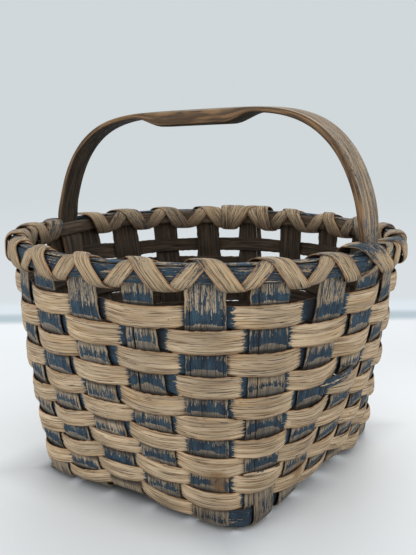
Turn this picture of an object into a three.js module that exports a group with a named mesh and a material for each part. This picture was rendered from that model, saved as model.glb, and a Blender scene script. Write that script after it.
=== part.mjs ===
// Splint basket: a woven rectangular base that rises to a round mouth, with a fixed bow handle.
// Units are millimetres, +Z is up and the basket stands on z = 0.
// +X is the way the handle spans and +Y is the long way of the base.
// Every splint, hoop and lashing strand is a solid of its own, woven over and under its neighbours.
import * as THREE from 'three';

// Counts of the weave
const longStripCount = 5;
const crossStripCount = 6;
const rowCount = 11;
const uprightCount = 2 * (longStripCount + crossStripCount);

// Clearance between pieces that touch
const clearance = 0.3;

// Splints
const uprightWidth = 27;
const uprightThickness = 1.4;
const weaverThickness = 1.2;
const edgeMargin = 0.5;

// Base: spacing of its strips, how far the foot of the wall is from the middle line of the last
// strip, its place against the rim, and how far its middle is pushed up
const basePitchX = 35.5;
const basePitchY = 37.5;
const footReachX = 26;
const footReachY = 22.25;
const baseCornerShare = 0.94;
const baseShiftX = 9;
const baseShiftY = 2.5;
const baseRise = 5.5;
const bendRadius = 8;

// Wall
const wallRadius = 147.5;
const wallTopZ = 170;
const wallBulgeShare = 0.16;
const rimTurnDegrees = 1.3;

// Rows of weavers, counted from the bottom
const firstRowZ = 10.9;
const rowPitchBottom = 11.3;
const rowPitchTop = 16.1;
const rowGap = 0.9;
const passBulge = 1.1;
const lapUprights = 2;

// Rim hoops
const hoopHeight = 11;
const outerHoopThickness = 4.3;
const innerHoopThickness = 4.2;
const hoopBevel = 2.4;
const hoopEdgeBevel = 1.2;
const hoopStations = 40;
const scarfLength = 26;

// Filler splint laid along the top of the hoops
const fillerWidth = 6.6;
const fillerThickness = 1.5;

// Lashing: how wide it lies along the rim, at most and at least in the gaps below it
const lashWidth = 14.5;
const lashNeckWidth = 13;
const lashLeastWidth = 6;
const lashThickness = 1;

// Handle
const handleWidth = 23;
const handleThickness = 4.4;
const handleNotchThickness = 3.4;
const handleTailThickness = 2.2;
const gripThickness = 12.3;
const gripHalfLength = 29;
const gripRamp = 27;
const gripOffsetX = -2.2;
const handleOffsetY = -8.5;
const handleRise = 96.5;
const handleTilt = 6.3;
const handleLean = 1;
const handleLeanShare = 0.33;
const handleTailLength = 76;
const handleEdgeBevel = 1.1;
const handleShoulderPower = 4.65;
const handleCrownPower = 1.6;

// Sizes worked out from the ones above
const lastStripX = ((longStripCount - 1) / 2) * basePitchX;
const lastStripY = ((crossStripCount - 1) / 2) * basePitchY;
const baseHalfX = lastStripX + footReachX;
const baseHalfY = lastStripY + footReachY;
const baseCornerRadius = baseCornerShare * Math.min(footReachX, footReachY);
const hoopBottomZ = wallTopZ;
const hoopTopZ = hoopBottomZ + hoopHeight;
const uprightTopZ = hoopTopZ - uprightThickness;
const splintStack = uprightThickness + clearance;
const baseMidZ = uprightThickness + clearance / 2;
const passOffset = (uprightThickness + weaverThickness) / 2 + 2.2 * clearance;
const lapStep = weaverThickness + clearance;
const hoopFacetShare = Math.cos(Math.PI / hoopStations);
const outerHoopInside = (wallRadius + uprightThickness / 2 + clearance) / hoopFacetShare;
const innerHoopOutside = wallRadius - uprightThickness / 2 - 1.6 * clearance;
const pitchAngle = (2 * Math.PI) / uprightCount;
const rimTurn = THREE.MathUtils.degToRad(rimTurnDegrees);

const up = new THREE.Vector3(0, 0, 1);

function mix(a, b, t) {
  return a + (b - a) * t;
}

function smooth(t) {
  const c = Math.min(Math.max(t, 0), 1);
  return c * c * (3 - 2 * c);
}

// Where upright k meets the foot of the wall. Uprights are numbered counter-clockwise from the
// left end of the front side: front, right, back, left.
function footPoint(k) {
  const n = ((k % uprightCount) + uprightCount) % uprightCount;
  const longMid = (longStripCount - 1) / 2;
  const crossMid = (crossStripCount - 1) / 2;
  if (n < longStripCount) {
    return new THREE.Vector2((n - longMid) * basePitchX, -baseHalfY);
  }
  if (n < longStripCount + crossStripCount) {
    return new THREE.Vector2(baseHalfX, (n - longStripCount - crossMid) * basePitchY);
  }
  if (n < 2 * longStripCount + crossStripCount) {
    return new THREE.Vector2((longMid - (n - longStripCount - crossStripCount)) * basePitchX, baseHalfY);
  }
  return new THREE.Vector2(-baseHalfX, (crossMid - (n - 2 * longStripCount - crossStripCount)) * basePitchY);
}

// The foot of the wall at u, where whole numbers of u are the uprights: straight sides, round corners
function footOutline(u) {
  const k = Math.floor(u);
  const t = u - k;
  const a = footPoint(k);
  const b = footPoint(k + 1);
  const onSameSide = Math.abs(a.x - b.x) < edgeMargin || Math.abs(a.y - b.y) < edgeMargin;
  if (onSameSide) {
    return a.lerp(b, t);
  }
  const centre = new THREE.Vector2(
    Math.sign(a.x + b.x) * (baseHalfX - baseCornerRadius),
    Math.sign(a.y + b.y) * (baseHalfY - baseCornerRadius),
  );
  const fromLongSide = Math.abs(Math.abs(a.y) - baseHalfY) < edgeMargin;
  const arcStart = fromLongSide ? new THREE.Vector2(centre.x, a.y) : new THREE.Vector2(a.x, centre.y);
  const arcEnd = fromLongSide ? new THREE.Vector2(b.x, centre.y) : new THREE.Vector2(centre.x, b.y);
  const before = a.distanceTo(arcStart);
  const arc = (baseCornerRadius * Math.PI) / 2;
  const after = arcEnd.distanceTo(b);
  const s = t * (before + arc + after);
  if (s < before) {
    return a.lerp(arcStart, s / before);
  }
  if (s > before + arc) {
    return arcEnd.lerp(b, (s - before - arc) / after);
  }
  const angle = arcStart.clone().sub(centre).angle() + (s - before) / baseCornerRadius;
  return new THREE.Vector2(Math.cos(angle), Math.sin(angle)).multiplyScalar(baseCornerRadius).add(centre);
}

function rimAngle(u) {
  return rimTurn - Math.PI / 2 + (u - (longStripCount - 1) / 2) * pitchAngle;
}

// The base is pushed up in the middle and along its sides, so that the basket stands on its corners
function baseRiseAt(x, y) {
  const flatX = lastStripX - uprightWidth / 2 - 2 * edgeMargin;
  const flatY = lastStripY - uprightWidth / 2 - 2 * edgeMargin;
  const shareX = smooth(Math.abs(x) / flatX);
  const shareY = smooth(Math.abs(y) / flatY);
  return baseRise * (1 - shareX * shareY);
}

// Point of the middle surface of the wall. w is 0 at the foot and 1 under the rim hoops.
const wallFootZ = baseMidZ + 0.62 * bendRadius;
function wallPoint(u, w) {
  const foot = footOutline(u);
  const share = w + wallBulgeShare * Math.sin(Math.PI * w);
  const angle = rimAngle(u);
  const x = mix(foot.x + baseShiftX, wallRadius * Math.cos(angle), share);
  const y = mix(foot.y + baseShiftY, wallRadius * Math.sin(angle), share);
  const z = mix(wallFootZ, wallTopZ, w) + baseRiseAt(foot.x, foot.y) * (1 - w);
  return new THREE.Vector3(x, y, z);
}

// Frame of the wall: along runs round the basket, rise runs up the wall, out points outward
const probe = 1e-3;
function wallFrame(u, w) {
  const along = wallPoint(u + probe, w).sub(wallPoint(u - probe, w)).divideScalar(2 * probe);
  const pitch = along.length();
  const slope = wallPoint(u, w + probe).sub(wallPoint(u, w - probe)).divideScalar(2 * probe);
  const height = slope.length();
  along.normalize();
  const out = along.clone().cross(slope).normalize();
  const rise = out.clone().cross(along).normalize();
  return { point: wallPoint(u, w), along, rise, out, pitch, height };
}

// A closed solid through a row of sections. Each section is a ring of points with the same count,
// turning counter-clockwise when seen against the way of travel.
function loft(sections) {
  const ring = sections[0].length;
  const positions = sections.flat().flatMap((p) => [p.x, p.y, p.z]);
  const index = [];
  for (let s = 0; s + 1 < sections.length; s++) {
    for (let i = 0; i < ring; i++) {
      const j = (i + 1) % ring;
      const a = s * ring + i;
      const b = s * ring + j;
      index.push(a, b, b + ring);
      index.push(a, b + ring, a + ring);
    }
  }
  const last = (sections.length - 1) * ring;
  for (let i = 0; i + 3 < ring + 1; i++) {
    const low = Math.floor((i + 1) / 2);
    const high = ring - 1 - Math.floor(i / 2);
    const tip = i % 2 === 0 ? low + 1 : high - 1;
    index.push(low, high, tip);
    index.push(last + low, last + tip, last + high);
  }
  const geometry = new THREE.BufferGeometry();
  geometry.setAttribute('position', new THREE.Float32BufferAttribute(positions, 3));
  geometry.setIndex(index);
  return outward(geometry);
}

// Turns the faces round if the solid came out inside out
function outward(geometry) {
  const p = geometry.getAttribute('position');
  const index = geometry.getIndex().array;
  const corner = (i) => new THREE.Vector3().fromBufferAttribute(p, index[i]);
  let volume = 0;
  for (let i = 0; i < index.length; i += 3) {
    volume += corner(i).dot(corner(i + 1).cross(corner(i + 2)));
  }
  if (volume < 0) {
    for (let i = 0; i < index.length; i += 3) {
      const kept = index[i];
      index[i] = index[i + 1];
      index[i + 1] = kept;
    }
  }
  geometry.computeVertexNormals();
  return geometry;
}

// Section of a flat splint: a middle line of points with their normals, given a thickness
function splintSection(points, normals, thickness) {
  const outer = points.map((p, i) => p.clone().addScaledVector(normals[i], thickness / 2));
  const inner = points.map((p, i) => p.clone().addScaledVector(normals[i], -thickness / 2));
  return [...outer, ...inner.reverse()];
}

// Base strips and uprights: one splint runs up the wall, under the basket and up the other side
const bendSteps = 2;
const wallStationShares = [1, 0.84, 0.68, 0.52, 0.36, 0.19, 0];

function uprightWallSection(k, w, lift) {
  const frame = wallFrame(k, w);
  const half = uprightWidth / 2 / frame.pitch;
  const sides = [k - half, k, k + half];
  const frames = sides.map((u) => wallFrame(u, w));
  const normals = frames.map((f) => (lift > 0 ? level(f.out) : f.out));
  const points = frames.map((f) => f.point.clone().addScaledVector(up, lift));
  return splintSection(points, normals, uprightThickness);
}

function level(v) {
  return new THREE.Vector3(v.x, v.y, 0).normalize();
}

// Round turn from the wall to the base, below the foot of the wall
function uprightBendSection(k, share) {
  const foot = wallFrame(k, 0);
  const lean = Math.asin(foot.rise.z);
  const turn = lean * share;
  const half = uprightWidth / 2 / foot.pitch;
  const inward = level(foot.out).negate();
  const points = [];
  const normals = [];
  for (const u of [k - half, k, k + half]) {
    const f = wallFrame(u, 0);
    const back = bendRadius * (Math.sin(lean) - Math.sin(turn));
    const drop = bendRadius * (Math.cos(turn) - Math.cos(lean));
    const flat = footOutlineFlat(k, u, share);
    points.push(flat.addScaledVector(inward, back).setZ(f.point.z - drop));
    normals.push(inward.clone().multiplyScalar(-Math.sin(turn)).addScaledVector(up, -Math.cos(turn)));
  }
  return splintSection(points, normals, uprightThickness);
}

// The foot of an upright goes from the rounded outline to a straight line as it turns under
function footOutlineFlat(k, u, share) {
  const round = wallPoint(u, 0);
  const middle = wallPoint(k, 0);
  const frame = wallFrame(k, 0);
  const straight = middle.addScaledVector(level(frame.along), (u - k) * frame.pitch);
  return straight.lerp(round, share);
}

// Crossing of long strip i and cross strip j: +1 where the long strip lies on top
function crossingSide(i, j) {
  return (i + j) % 2 === 0 ? 1 : -1;
}

function longStripX(i) {
  return (i - (longStripCount - 1) / 2) * basePitchX;
}

function crossStripY(j) {
  return (j - (crossStripCount - 1) / 2) * basePitchY;
}

// Section of a strip in the base. The strips lie level where they cross and slope in between.
function baseSection(x, y, acrossX, z) {
  const points = [];
  const normals = [];
  const half = uprightWidth / 2;
  for (const s of [-half, 0, half]) {
    const px = acrossX ? x + s : x;
    const py = acrossX ? y : y + s;
    points.push(new THREE.Vector3(px + baseShiftX, py + baseShiftY, z));
    normals.push(up.clone().negate());
  }
  return splintSection(points, normals, uprightThickness);
}

function baseRun(isLong, n) {
  const sections = [];
  const crossings = isLong ? crossStripCount : longStripCount;
  const reach = uprightWidth / 2 + edgeMargin;
  for (let m = 0; m < crossings; m++) {
    const side = isLong ? crossingSide(n, m) : -crossingSide(m, n);
    const x = longStripX(isLong ? n : m);
    const y = crossStripY(isLong ? m : n);
    const z = baseMidZ + baseRiseAt(x, y) + (side * splintStack) / 2;
    for (const step of [-reach, reach]) {
      sections.push(isLong ? baseSection(x, y + step, true, z) : baseSection(x + step, y, false, z));
    }
  }
  return sections;
}

function wallRun(k) {
  const sections = [uprightWallSection(k, 1, uprightTopZ - wallTopZ)];
  for (const w of wallStationShares) {
    sections.push(uprightWallSection(k, w, 0));
  }
  for (let b = 1; b < bendSteps; b++) {
    sections.push(uprightBendSection(k, 1 - b / bendSteps));
  }
  return sections;
}

// Sections of the second wall run from the base up, so its sections swap their sides
function mirrored(section) {
  const half = section.length / 2;
  const outer = section.slice(0, half).reverse();
  const inner = section.slice(half).reverse();
  return [...outer, ...inner];
}

function stripGeometry(isLong, n) {
  const longStart = n;
  const longEnd = 2 * longStripCount + crossStripCount - 1 - n;
  const crossStart = uprightCount - 1 - n;
  const crossEnd = longStripCount + n;
  const start = isLong ? longStart : crossStart;
  const end = isLong ? longEnd : crossEnd;
  const base = baseRun(isLong, n);
  const first = wallRun(start);
  const second = wallRun(end).reverse().map(mirrored);
  const ordered = isLong ? base : base.map(mirrored);
  return loft([...first, ...ordered, ...second]);
}

// Weavers
const rowShares = Array.from({ length: rowCount }, (_, r) => r / (rowCount - 1));
function rowPitch(r) {
  return mix(rowPitchBottom, rowPitchTop, rowShares[r]);
}

function rowZ(r) {
  let z = firstRowZ;
  for (let n = 1; n <= r; n++) {
    z += (rowPitch(n - 1) + rowPitch(n)) / 2;
  }
  return z;
}

// +1 where row r passes outside upright k
function passSide(r, k) {
  const fromTop = rowCount - r;
  return (fromTop + k) % 2 === 0 ? 1 : -1;
}

function weaverSection(r, u, offset) {
  const w = (rowZ(r) - wallFootZ) / (wallTopZ - wallFootZ);
  const f = wallFrame(u, w);
  const width = rowPitch(r) / Math.abs(f.rise.z) - rowGap;
  const centre = f.point.clone().addScaledVector(f.out, offset);
  const low = centre.clone().addScaledVector(f.rise, -width / 2);
  const high = centre.clone().addScaledVector(f.rise, width / 2);
  return splintSection([low, high], [f.out, f.out], weaverThickness);
}

// Each weaver starts behind an upright, runs once round, and laps over its own start
function weaverGeometry(r, start) {
  const w = (rowZ(r) - wallFootZ) / (wallTopZ - wallFootZ);
  const sections = [];
  for (let n = 0; n <= uprightCount + lapUprights; n++) {
    const k = start + n;
    const side = passSide(r, k);
    const inFirstLayer = n <= lapUprights;
    const inSecondLayer = n >= uprightCount;
    const pushed = (inFirstLayer && side < 0) || (inSecondLayer && side > 0);
    const pass = side * (passOffset + (pushed ? lapStep : 0));
    const reach = (uprightWidth / 2 + edgeMargin) / wallFrame(k, w).pitch;
    if (n > 0) {
      sections.push(weaverSection(r, k - reach, pass));
    }
    sections.push(weaverSection(r, k, pass + side * passBulge));
    if (n < uprightCount + lapUprights) {
      sections.push(weaverSection(r, k + reach, pass));
    }
  }
  return loft(sections);
}

// Rim hoops
const handleFootAngles = [Math.asin(handleOffsetY / wallRadius), Math.PI - Math.asin(handleOffsetY / wallRadius)];
const footHalfAngle = handleWidth / 2 / innerHoopOutside;
const footFarY = Math.abs(handleOffsetY) + handleWidth / 2;
const footPlane = Math.sqrt(innerHoopOutside * innerHoopOutside - footFarY * footFarY);

function angleBetween(a, b) {
  return Math.atan2(Math.sin(a - b), Math.cos(a - b));
}

// How far the inner hoop is pushed in by the foot of the handle behind it. The push is full across
// the foot and falls off evenly beside it.
const footPush = innerHoopOutside - footPlane + handleNotchThickness + clearance;
const pushFull = 1.25 * footHalfAngle;
const pushEnd = 3 * footHalfAngle;
function footPushAt(angle, spread) {
  const nearest = Math.min(...handleFootAngles.map((a) => Math.abs(angleBetween(angle, a)))) - spread;
  const share = Math.min(Math.max((nearest - pushFull) / (pushEnd - pushFull), 0), 1);
  return footPush * (1 - share);
}

function hoopSection(angle, inside, outside, roundOutside) {
  const bevelIn = roundOutside ? hoopEdgeBevel : hoopBevel;
  const bevelOut = roundOutside ? hoopBevel : hoopEdgeBevel;
  const shape = [
    [inside + bevelIn, hoopBottomZ],
    [outside - bevelOut, hoopBottomZ],
    [outside, hoopBottomZ + bevelOut],
    [outside, hoopTopZ - bevelOut],
    [outside - bevelOut, hoopTopZ],
    [inside + bevelIn, hoopTopZ],
    [inside, hoopTopZ - bevelIn],
    [inside, hoopBottomZ + bevelIn],
  ];
  return shape.map(([r, z]) => {
    const lean = (r - (inside + outside) / 2) / (outside - inside);
    return { r, z, lean, angle };
  });
}

// Angles of the stations of a hoop, counted from its seam. A pushed hoop has more at the handle.
function hoopTurns(seam, scarfGap, pushed) {
  const full = 2 * Math.PI - scarfGap;
  const turns = Array.from({ length: hoopStations + 1 }, (_, s) => (s / hoopStations) * full);
  if (pushed) {
    for (const foot of handleFootAngles) {
      for (const away of [-pushEnd, -pushFull, pushFull, pushEnd]) {
        const turn = foot + away - seam - scarfGap / 2;
        turns.push(((turn % (2 * Math.PI)) + 2 * Math.PI) % (2 * Math.PI));
      }
    }
  }
  return turns.sort((a, b) => a - b);
}

// A hoop is one bent strip whose ends meet in a long slanting scarf
function hoopGeometry(inside, outside, roundOutside, pushed, seam) {
  const sections = [];
  const middle = (inside + outside) / 2;
  const scarfGap = clearance / Math.sin(Math.atan((outside - inside) / scarfLength)) / middle;
  for (const turned of hoopTurns(seam, scarfGap, pushed)) {
    const angle = seam + scarfGap / 2 + turned;
    const section = hoopSection(angle, inside, outside, roundOutside);
    sections.push(section.map((c) => {
      const turn = c.angle + (pushed ? 0 : (c.lean * scarfLength) / middle);
      const r = c.r - (pushed ? footPushAt(turn, 0) : 0);
      return new THREE.Vector3(r * Math.cos(turn), r * Math.sin(turn), c.z);
    }));
  }
  return loft(sections);
}

// Filler splint: two lengths, one each side of the handle
const fillerStations = 20;
function fillerGeometry(from, to) {
  const sections = [];
  const gap = footHalfAngle + (5 * clearance) / wallRadius;
  for (let s = 0; s <= fillerStations; s++) {
    const angle = mix(from + gap, to - gap, s / fillerStations);
    const middle = wallRadius - footPushAt(angle, 0) / 2;
    const low = hoopTopZ + clearance;
    const shape = [
      [middle - fillerWidth / 2, low],
      [middle + fillerWidth / 2, low],
      [middle + fillerWidth / 2, low + fillerThickness],
      [middle - fillerWidth / 2, low + fillerThickness],
    ];
    sections.push(shape.map(([r, z]) => new THREE.Vector3(r * Math.cos(angle), r * Math.sin(angle), z)));
  }
  return loft(sections);
}

// Lashing. One turn of a strand follows this loop round the hoops, from the top of the rim down the
// outside, through the gap below and up the inside. stand is how far the surface stands off the
// hoops, way how far round the turn it is, and neckShare how far it is drawn in to fit its gap.
const lashGap = 2.4 * clearance;
const lashOuter = outerHoopInside + outerHoopThickness;
const lashInner = (innerHoopOutside - innerHoopThickness) * hoopFacetShare;
const lashTop = hoopTopZ + clearance + fillerThickness;
function lashLoop(stand) {
  const chamfer = 0.41 * stand;
  const outer = lashOuter + stand;
  const inner = lashInner - stand;
  const bottom = hoopBottomZ - stand;
  const corner = hoopBevel + stand - chamfer;
  const filler = fillerWidth / 2 + clearance + chamfer;
  const lowEdge = hoopBottomZ + hoopBevel - chamfer;
  const highEdge = hoopTopZ - hoopBevel + chamfer;
  return [
    { r: wallRadius + filler, z: lashTop + stand, way: 0, neckShare: 0 },
    { r: outer, z: highEdge, way: 0.3, neckShare: 0 },
    { r: outer, z: (hoopTopZ + hoopBottomZ) / 2, way: 0.56, neckShare: 0 },
    { r: outer, z: lowEdge, way: 0.84, neckShare: 0.5 },
    { r: outer - corner, z: bottom, way: 1, neckShare: 1 },
    { r: inner + corner, z: bottom, way: 1, neckShare: 1 },
    { r: inner, z: lowEdge, way: 1.16, neckShare: 0.5 },
    { r: inner, z: highEdge, way: 1.7, neckShare: 0 },
    { r: wallRadius - filler, z: lashTop + stand, way: 2, neckShare: 0 },
  ];
}

// How far a strand slants over the top of the rim, as a share of the upright spacing
const topDriftShare = 0.055;

// The inner hoop's bend at the handle is bridged a little wider than the hoop itself
const lashPushSpread = 0.8 * footHalfAngle;

// The strands cross the rim above each upright, or beside the handle where its foot is in the way
function topAngle(k, direction) {
  const angle = rimAngle(k);
  const keepOff = footHalfAngle + (lashWidth / 2 + 5 * clearance) / wallRadius + topDriftShare * pitchAngle;
  for (const foot of handleFootAngles) {
    if (Math.abs(angleBetween(angle, foot)) < keepOff) {
      return foot - direction * keepOff;
    }
  }
  return angle;
}

// They pass under the hoops between two uprights, in the part of that gap that the foot leaves free
function gapPlace(k) {
  const middle = rimAngle(k + 0.5);
  const half = pitchAngle / 2 - (uprightWidth / 2 + 1.2 * clearance) / wallRadius;
  let low = middle - half;
  let high = middle + half;
  for (const foot of handleFootAngles) {
    const away = angleBetween(foot, middle);
    const reach = footHalfAngle + (1.5 * clearance) / wallRadius;
    const below = away - reach + half;
    const above = half - away - reach;
    if (Math.max(below, above) < 2 * half) {
      high = below > above ? middle - half + below : high;
      low = below > above ? low : middle + half - above;
    }
  }
  const room = (high - low) * wallRadius;
  return room < lashLeastWidth ? null : { angle: (low + high) / 2, width: Math.min(lashNeckWidth, room) };
}

// Angles of one strand: from each crossing above the rim, through a gap, to the next crossing.
// direction is +1 for the strand that runs down to the right outside, and -1 for the other.
function lashStops(direction, firstUpright) {
  const stops = [];
  let k = firstUpright;
  let done = 0;
  while (done < uprightCount - 1) {
    let gapIndex = direction > 0 ? k : k - 1;
    let next = k + direction;
    let gap = gapPlace(gapIndex);
    while (gap === null) {
      gapIndex += direction;
      next += direction;
      done += 1;
      gap = gapPlace(gapIndex);
    }
    stops.push({ top: topAngle(k, direction), gap, next: topAngle(next, direction) });
    k = next;
    done += 1;
  }
  return stops;
}

function lashGeometry(direction, layer, firstUpright) {
  const stand = lashGap + layer * (lashThickness + 2 * lashGap);
  const near = lashLoop(stand);
  const far = lashLoop(stand + lashThickness);
  const sections = [];
  for (const stop of lashStops(direction, firstUpright)) {
    near.forEach((c, n) => {
      const aim = c.way <= 1 ? stop.top : stop.next;
      const span = angleBetween(aim, stop.gap.angle);
      const drift = Math.abs(1 - c.way) === 1 ? topDriftShare * pitchAngle * Math.sign(span) : 0;
      const angle = stop.gap.angle + span * Math.abs(1 - c.way) - drift;
      const half = mix(lashWidth, stop.gap.width, c.neckShare) / 2 / c.r;
      const edge = (ring, turn) => {
        const push = ring.r < wallRadius ? footPushAt(turn, lashPushSpread * (1 + layer)) : 0;
        const r = ring.r - push;
        return new THREE.Vector3(r * Math.cos(turn), r * Math.sin(turn), ring.z);
      };
      const turns = [angle - half, angle + half];
      sections.push([...turns.map((t) => edge(c, t)), ...turns.reverse().map((t) => edge(far[n], t))]);
    });
  }
  return loft(sections);
}

// Handle: a bent bow with a thick carved grip, whose thinned feet go down inside the wall
const archSteps = 14;
const notchShoulder = 4;
const tailWidthShare = 0.7;

// How far out in x a flat piece can reach at y and z when it stays inset inside the wall
function wallRoomAt(side, y, z, inset) {
  const w = (z - wallFootZ) / (wallTopZ - wallFootZ);
  let low = side > 0 ? longStripCount : 2 * longStripCount + crossStripCount;
  let high = low + crossStripCount - 1;
  const halvings = 40;
  for (let n = 0; n < halvings; n++) {
    const middle = (low + high) / 2;
    const tooLow = wallPoint(middle, w).y < y;
    if (tooLow === side > 0) {
      low = middle;
    } else {
      high = middle;
    }
  }
  const frame = wallFrame((low + high) / 2, w);
  return side * frame.point.x - inset / (side * frame.out.x);
}

function handleStations(side) {
  const stations = [];
  const tailInset = passOffset + passBulge + weaverThickness / 2 + 2 * clearance;
  const tailSteps = 5;
  const tailTop = hoopBottomZ - notchShoulder;
  for (let s = tailSteps; s >= 0; s--) {
    const z = tailTop - (handleTailLength * s) / tailSteps;
    const width = mix(handleWidth, tailWidthShare * handleWidth, s / tailSteps);
    const room = [-width / 2, 0, width / 2].map((y) => wallRoomAt(side, handleOffsetY + y, z, tailInset));
    const thickness = mix(handleNotchThickness, handleTailThickness, s / tailSteps);
    stations.push({ x: Math.min(...room), z, thickness, width });
  }
  const plane = footPlane;
  stations.push({ x: plane, z: hoopBottomZ + clearance, thickness: handleNotchThickness, width: handleWidth });
  stations.push({ x: plane, z: hoopTopZ + fillerThickness, thickness: handleNotchThickness, width: handleWidth });
  const archBase = hoopTopZ + fillerThickness + notchShoulder;
  for (let s = 0; s < archSteps; s++) {
    const left = 1 - s / archSteps;
    const t = (Math.PI / 2) * (1 - left * left);
    const reach = plane * Math.cos(t) ** (2 / handleShoulderPower);
    const rise = Math.sin(t) ** (2 / handleCrownPower);
    const z = archBase + (handleRise - archBase + hoopTopZ) * rise + (handleTilt * side * reach) / plane * rise;
    const x = reach + side * handleLean * smooth(rise / handleLeanShare);
    const fromMiddle = (Math.abs(side * x - gripOffsetX) - gripHalfLength) / gripRamp;
    const thickness = mix(gripThickness, handleThickness, smooth(fromMiddle));
    stations.push({ x, z, thickness, width: handleWidth });
  }
  return stations.map((s) => ({ ...s, x: side * s.x }));
}

function handleGeometry() {
  const right = handleStations(1);
  const left = handleStations(-1).reverse();
  const crown = { x: handleLean, z: hoopTopZ + handleRise, thickness: gripThickness, width: handleWidth };
  const stations = [...right, crown, ...left];
  const sections = stations.map((s, i) => {
    const ahead = stations[Math.min(i + 1, stations.length - 1)];
    const behind = stations[Math.max(i - 1, 0)];
    const travel = new THREE.Vector3(ahead.x - behind.x, 0, ahead.z - behind.z).normalize();
    const inward = new THREE.Vector3(-travel.z, 0, travel.x);
    const outer = new THREE.Vector3(s.x, handleOffsetY, s.z);
    const half = s.width / 2;
    const b = Math.min(handleEdgeBevel, s.thickness / 3);
    const shape = [
      [-half + b, 0], [half - b, 0], [half, b], [half, s.thickness - b],
      [half - b, s.thickness], [-half + b, s.thickness], [-half, s.thickness - b], [-half, b],
    ];
    return shape.map(([y, d]) => outer.clone().addScaledVector(inward, d).setY(handleOffsetY + y));
  });
  return loft(sections);
}

// Materials
const uprightMaterial = new THREE.MeshStandardMaterial({ color: 0x3f5566, roughness: 0.8, metalness: 0 });
const weaverMaterial = new THREE.MeshStandardMaterial({ color: 0xb0967a, roughness: 0.8, metalness: 0 });
const hoopMaterial = new THREE.MeshStandardMaterial({ color: 0x4a5a68, roughness: 0.8, metalness: 0 });
const lashMaterial = new THREE.MeshStandardMaterial({ color: 0xb8a07f, roughness: 0.8, metalness: 0 });
const handleMaterial = new THREE.MeshStandardMaterial({ color: 0x7a6450, roughness: 0.7, metalness: 0 });

const basket = new THREE.Group();

function addPiece(name, geometry, material) {
  const mesh = new THREE.Mesh(geometry, material.clone());
  mesh.name = name;
  basket.add(mesh);
}

for (let i = 0; i < longStripCount; i++) {
  addPiece(`long_strip_${i + 1}`, stripGeometry(true, i), uprightMaterial);
}
for (let j = 0; j < crossStripCount; j++) {
  addPiece(`cross_strip_${j + 1}`, stripGeometry(false, j), uprightMaterial);
}

// Rows start at different uprights round the back, so that their laps don't stack up
const rowStartStep = 2;
const firstRowStart = longStripCount + crossStripCount - 1;
for (let r = 0; r < rowCount; r++) {
  const wished = firstRowStart + ((r * rowStartStep) % longStripCount);
  const start = passSide(r, wished) < 0 ? wished : wished + 1;
  addPiece(`weaver_${r + 1}`, weaverGeometry(r, start), weaverMaterial);
}

const hoopOutside = outerHoopInside + outerHoopThickness;
const innerInside = innerHoopOutside - innerHoopThickness;
const seamOuter = rimAngle(2 * longStripCount + crossStripCount - 2);
const seamInner = rimAngle(longStripCount + crossStripCount + 1);
addPiece('rim_hoop_outer', hoopGeometry(outerHoopInside, hoopOutside, true, false, seamOuter), hoopMaterial);
addPiece('rim_hoop_inner', hoopGeometry(innerInside, innerHoopOutside, false, true, seamInner), hoopMaterial);
addPiece('rim_filler_back', fillerGeometry(handleFootAngles[0], handleFootAngles[1]), hoopMaterial);
addPiece('rim_filler_front', fillerGeometry(handleFootAngles[1], handleFootAngles[0] + 2 * Math.PI), hoopMaterial);
addPiece('lashing_under', lashGeometry(-1, 0, longStripCount + crossStripCount + 2), lashMaterial);
addPiece('lashing_over', lashGeometry(1, 1, longStripCount + crossStripCount + 3), lashMaterial);
addPiece('handle', handleGeometry(), handleMaterial);

// The origin is the middle of the outline, on the ground
const box = new THREE.Box3().setFromObject(basket);
const middle = box.getCenter(new THREE.Vector3());
for (const piece of basket.children) {
  piece.geometry.translate(-middle.x, -middle.y, -box.min.z);
}

export default basket;
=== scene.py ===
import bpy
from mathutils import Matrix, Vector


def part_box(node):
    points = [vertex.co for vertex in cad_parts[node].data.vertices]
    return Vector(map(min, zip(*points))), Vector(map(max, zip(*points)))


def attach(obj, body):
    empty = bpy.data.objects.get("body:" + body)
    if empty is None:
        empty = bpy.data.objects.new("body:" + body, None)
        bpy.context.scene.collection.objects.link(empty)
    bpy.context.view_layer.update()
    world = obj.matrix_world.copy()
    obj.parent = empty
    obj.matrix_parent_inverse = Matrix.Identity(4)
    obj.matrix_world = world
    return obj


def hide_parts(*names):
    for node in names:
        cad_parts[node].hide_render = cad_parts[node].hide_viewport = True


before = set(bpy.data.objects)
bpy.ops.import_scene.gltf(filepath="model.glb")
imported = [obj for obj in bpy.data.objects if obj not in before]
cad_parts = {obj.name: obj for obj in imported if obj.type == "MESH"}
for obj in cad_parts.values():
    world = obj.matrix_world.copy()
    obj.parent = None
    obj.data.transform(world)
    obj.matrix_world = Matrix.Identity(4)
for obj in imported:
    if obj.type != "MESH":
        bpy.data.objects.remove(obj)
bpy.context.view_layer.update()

import math

import bmesh
import bpy
import numpy as np
from mathutils import Vector

# Counts of strips and rows, then sizes in millimetres
LONG, CROSS, ROWS = 5, 6, 11
COUNT = 2 * (LONG + CROSS)
SOLID_STRIP, UPRIGHT_WIDTH, UPRIGHT_THICK, WEAVER_THICK = 1.4, 27.0, 1.3, 1.15
CLEAR, MARGIN = 0.3, 0.5
PITCH_X, PITCH_Y, REACH_X, REACH_Y = 35.5, 37.5, 26.0, 22.25
HALF_X, HALF_Y = (LONG - 1) / 2 * PITCH_X + REACH_X, (CROSS - 1) / 2 * PITCH_Y + REACH_Y
CORNER_SHARE, BEND_SHARE = 0.94, 0.62
CORNER_R = CORNER_SHARE * min(REACH_X, REACH_Y)
SHIFT_X, SHIFT_Y, BASE_RISE, BEND_R = 9.0, 2.5, 5.5, 8.0
WALL_R, TOP_Z, BULGE = 147.5, 170.0, 0.13
RIM_TURN = math.radians(1.3)
PITCH_ANGLE = 2 * math.pi / COUNT
STACK = SOLID_STRIP + CLEAR
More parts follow.
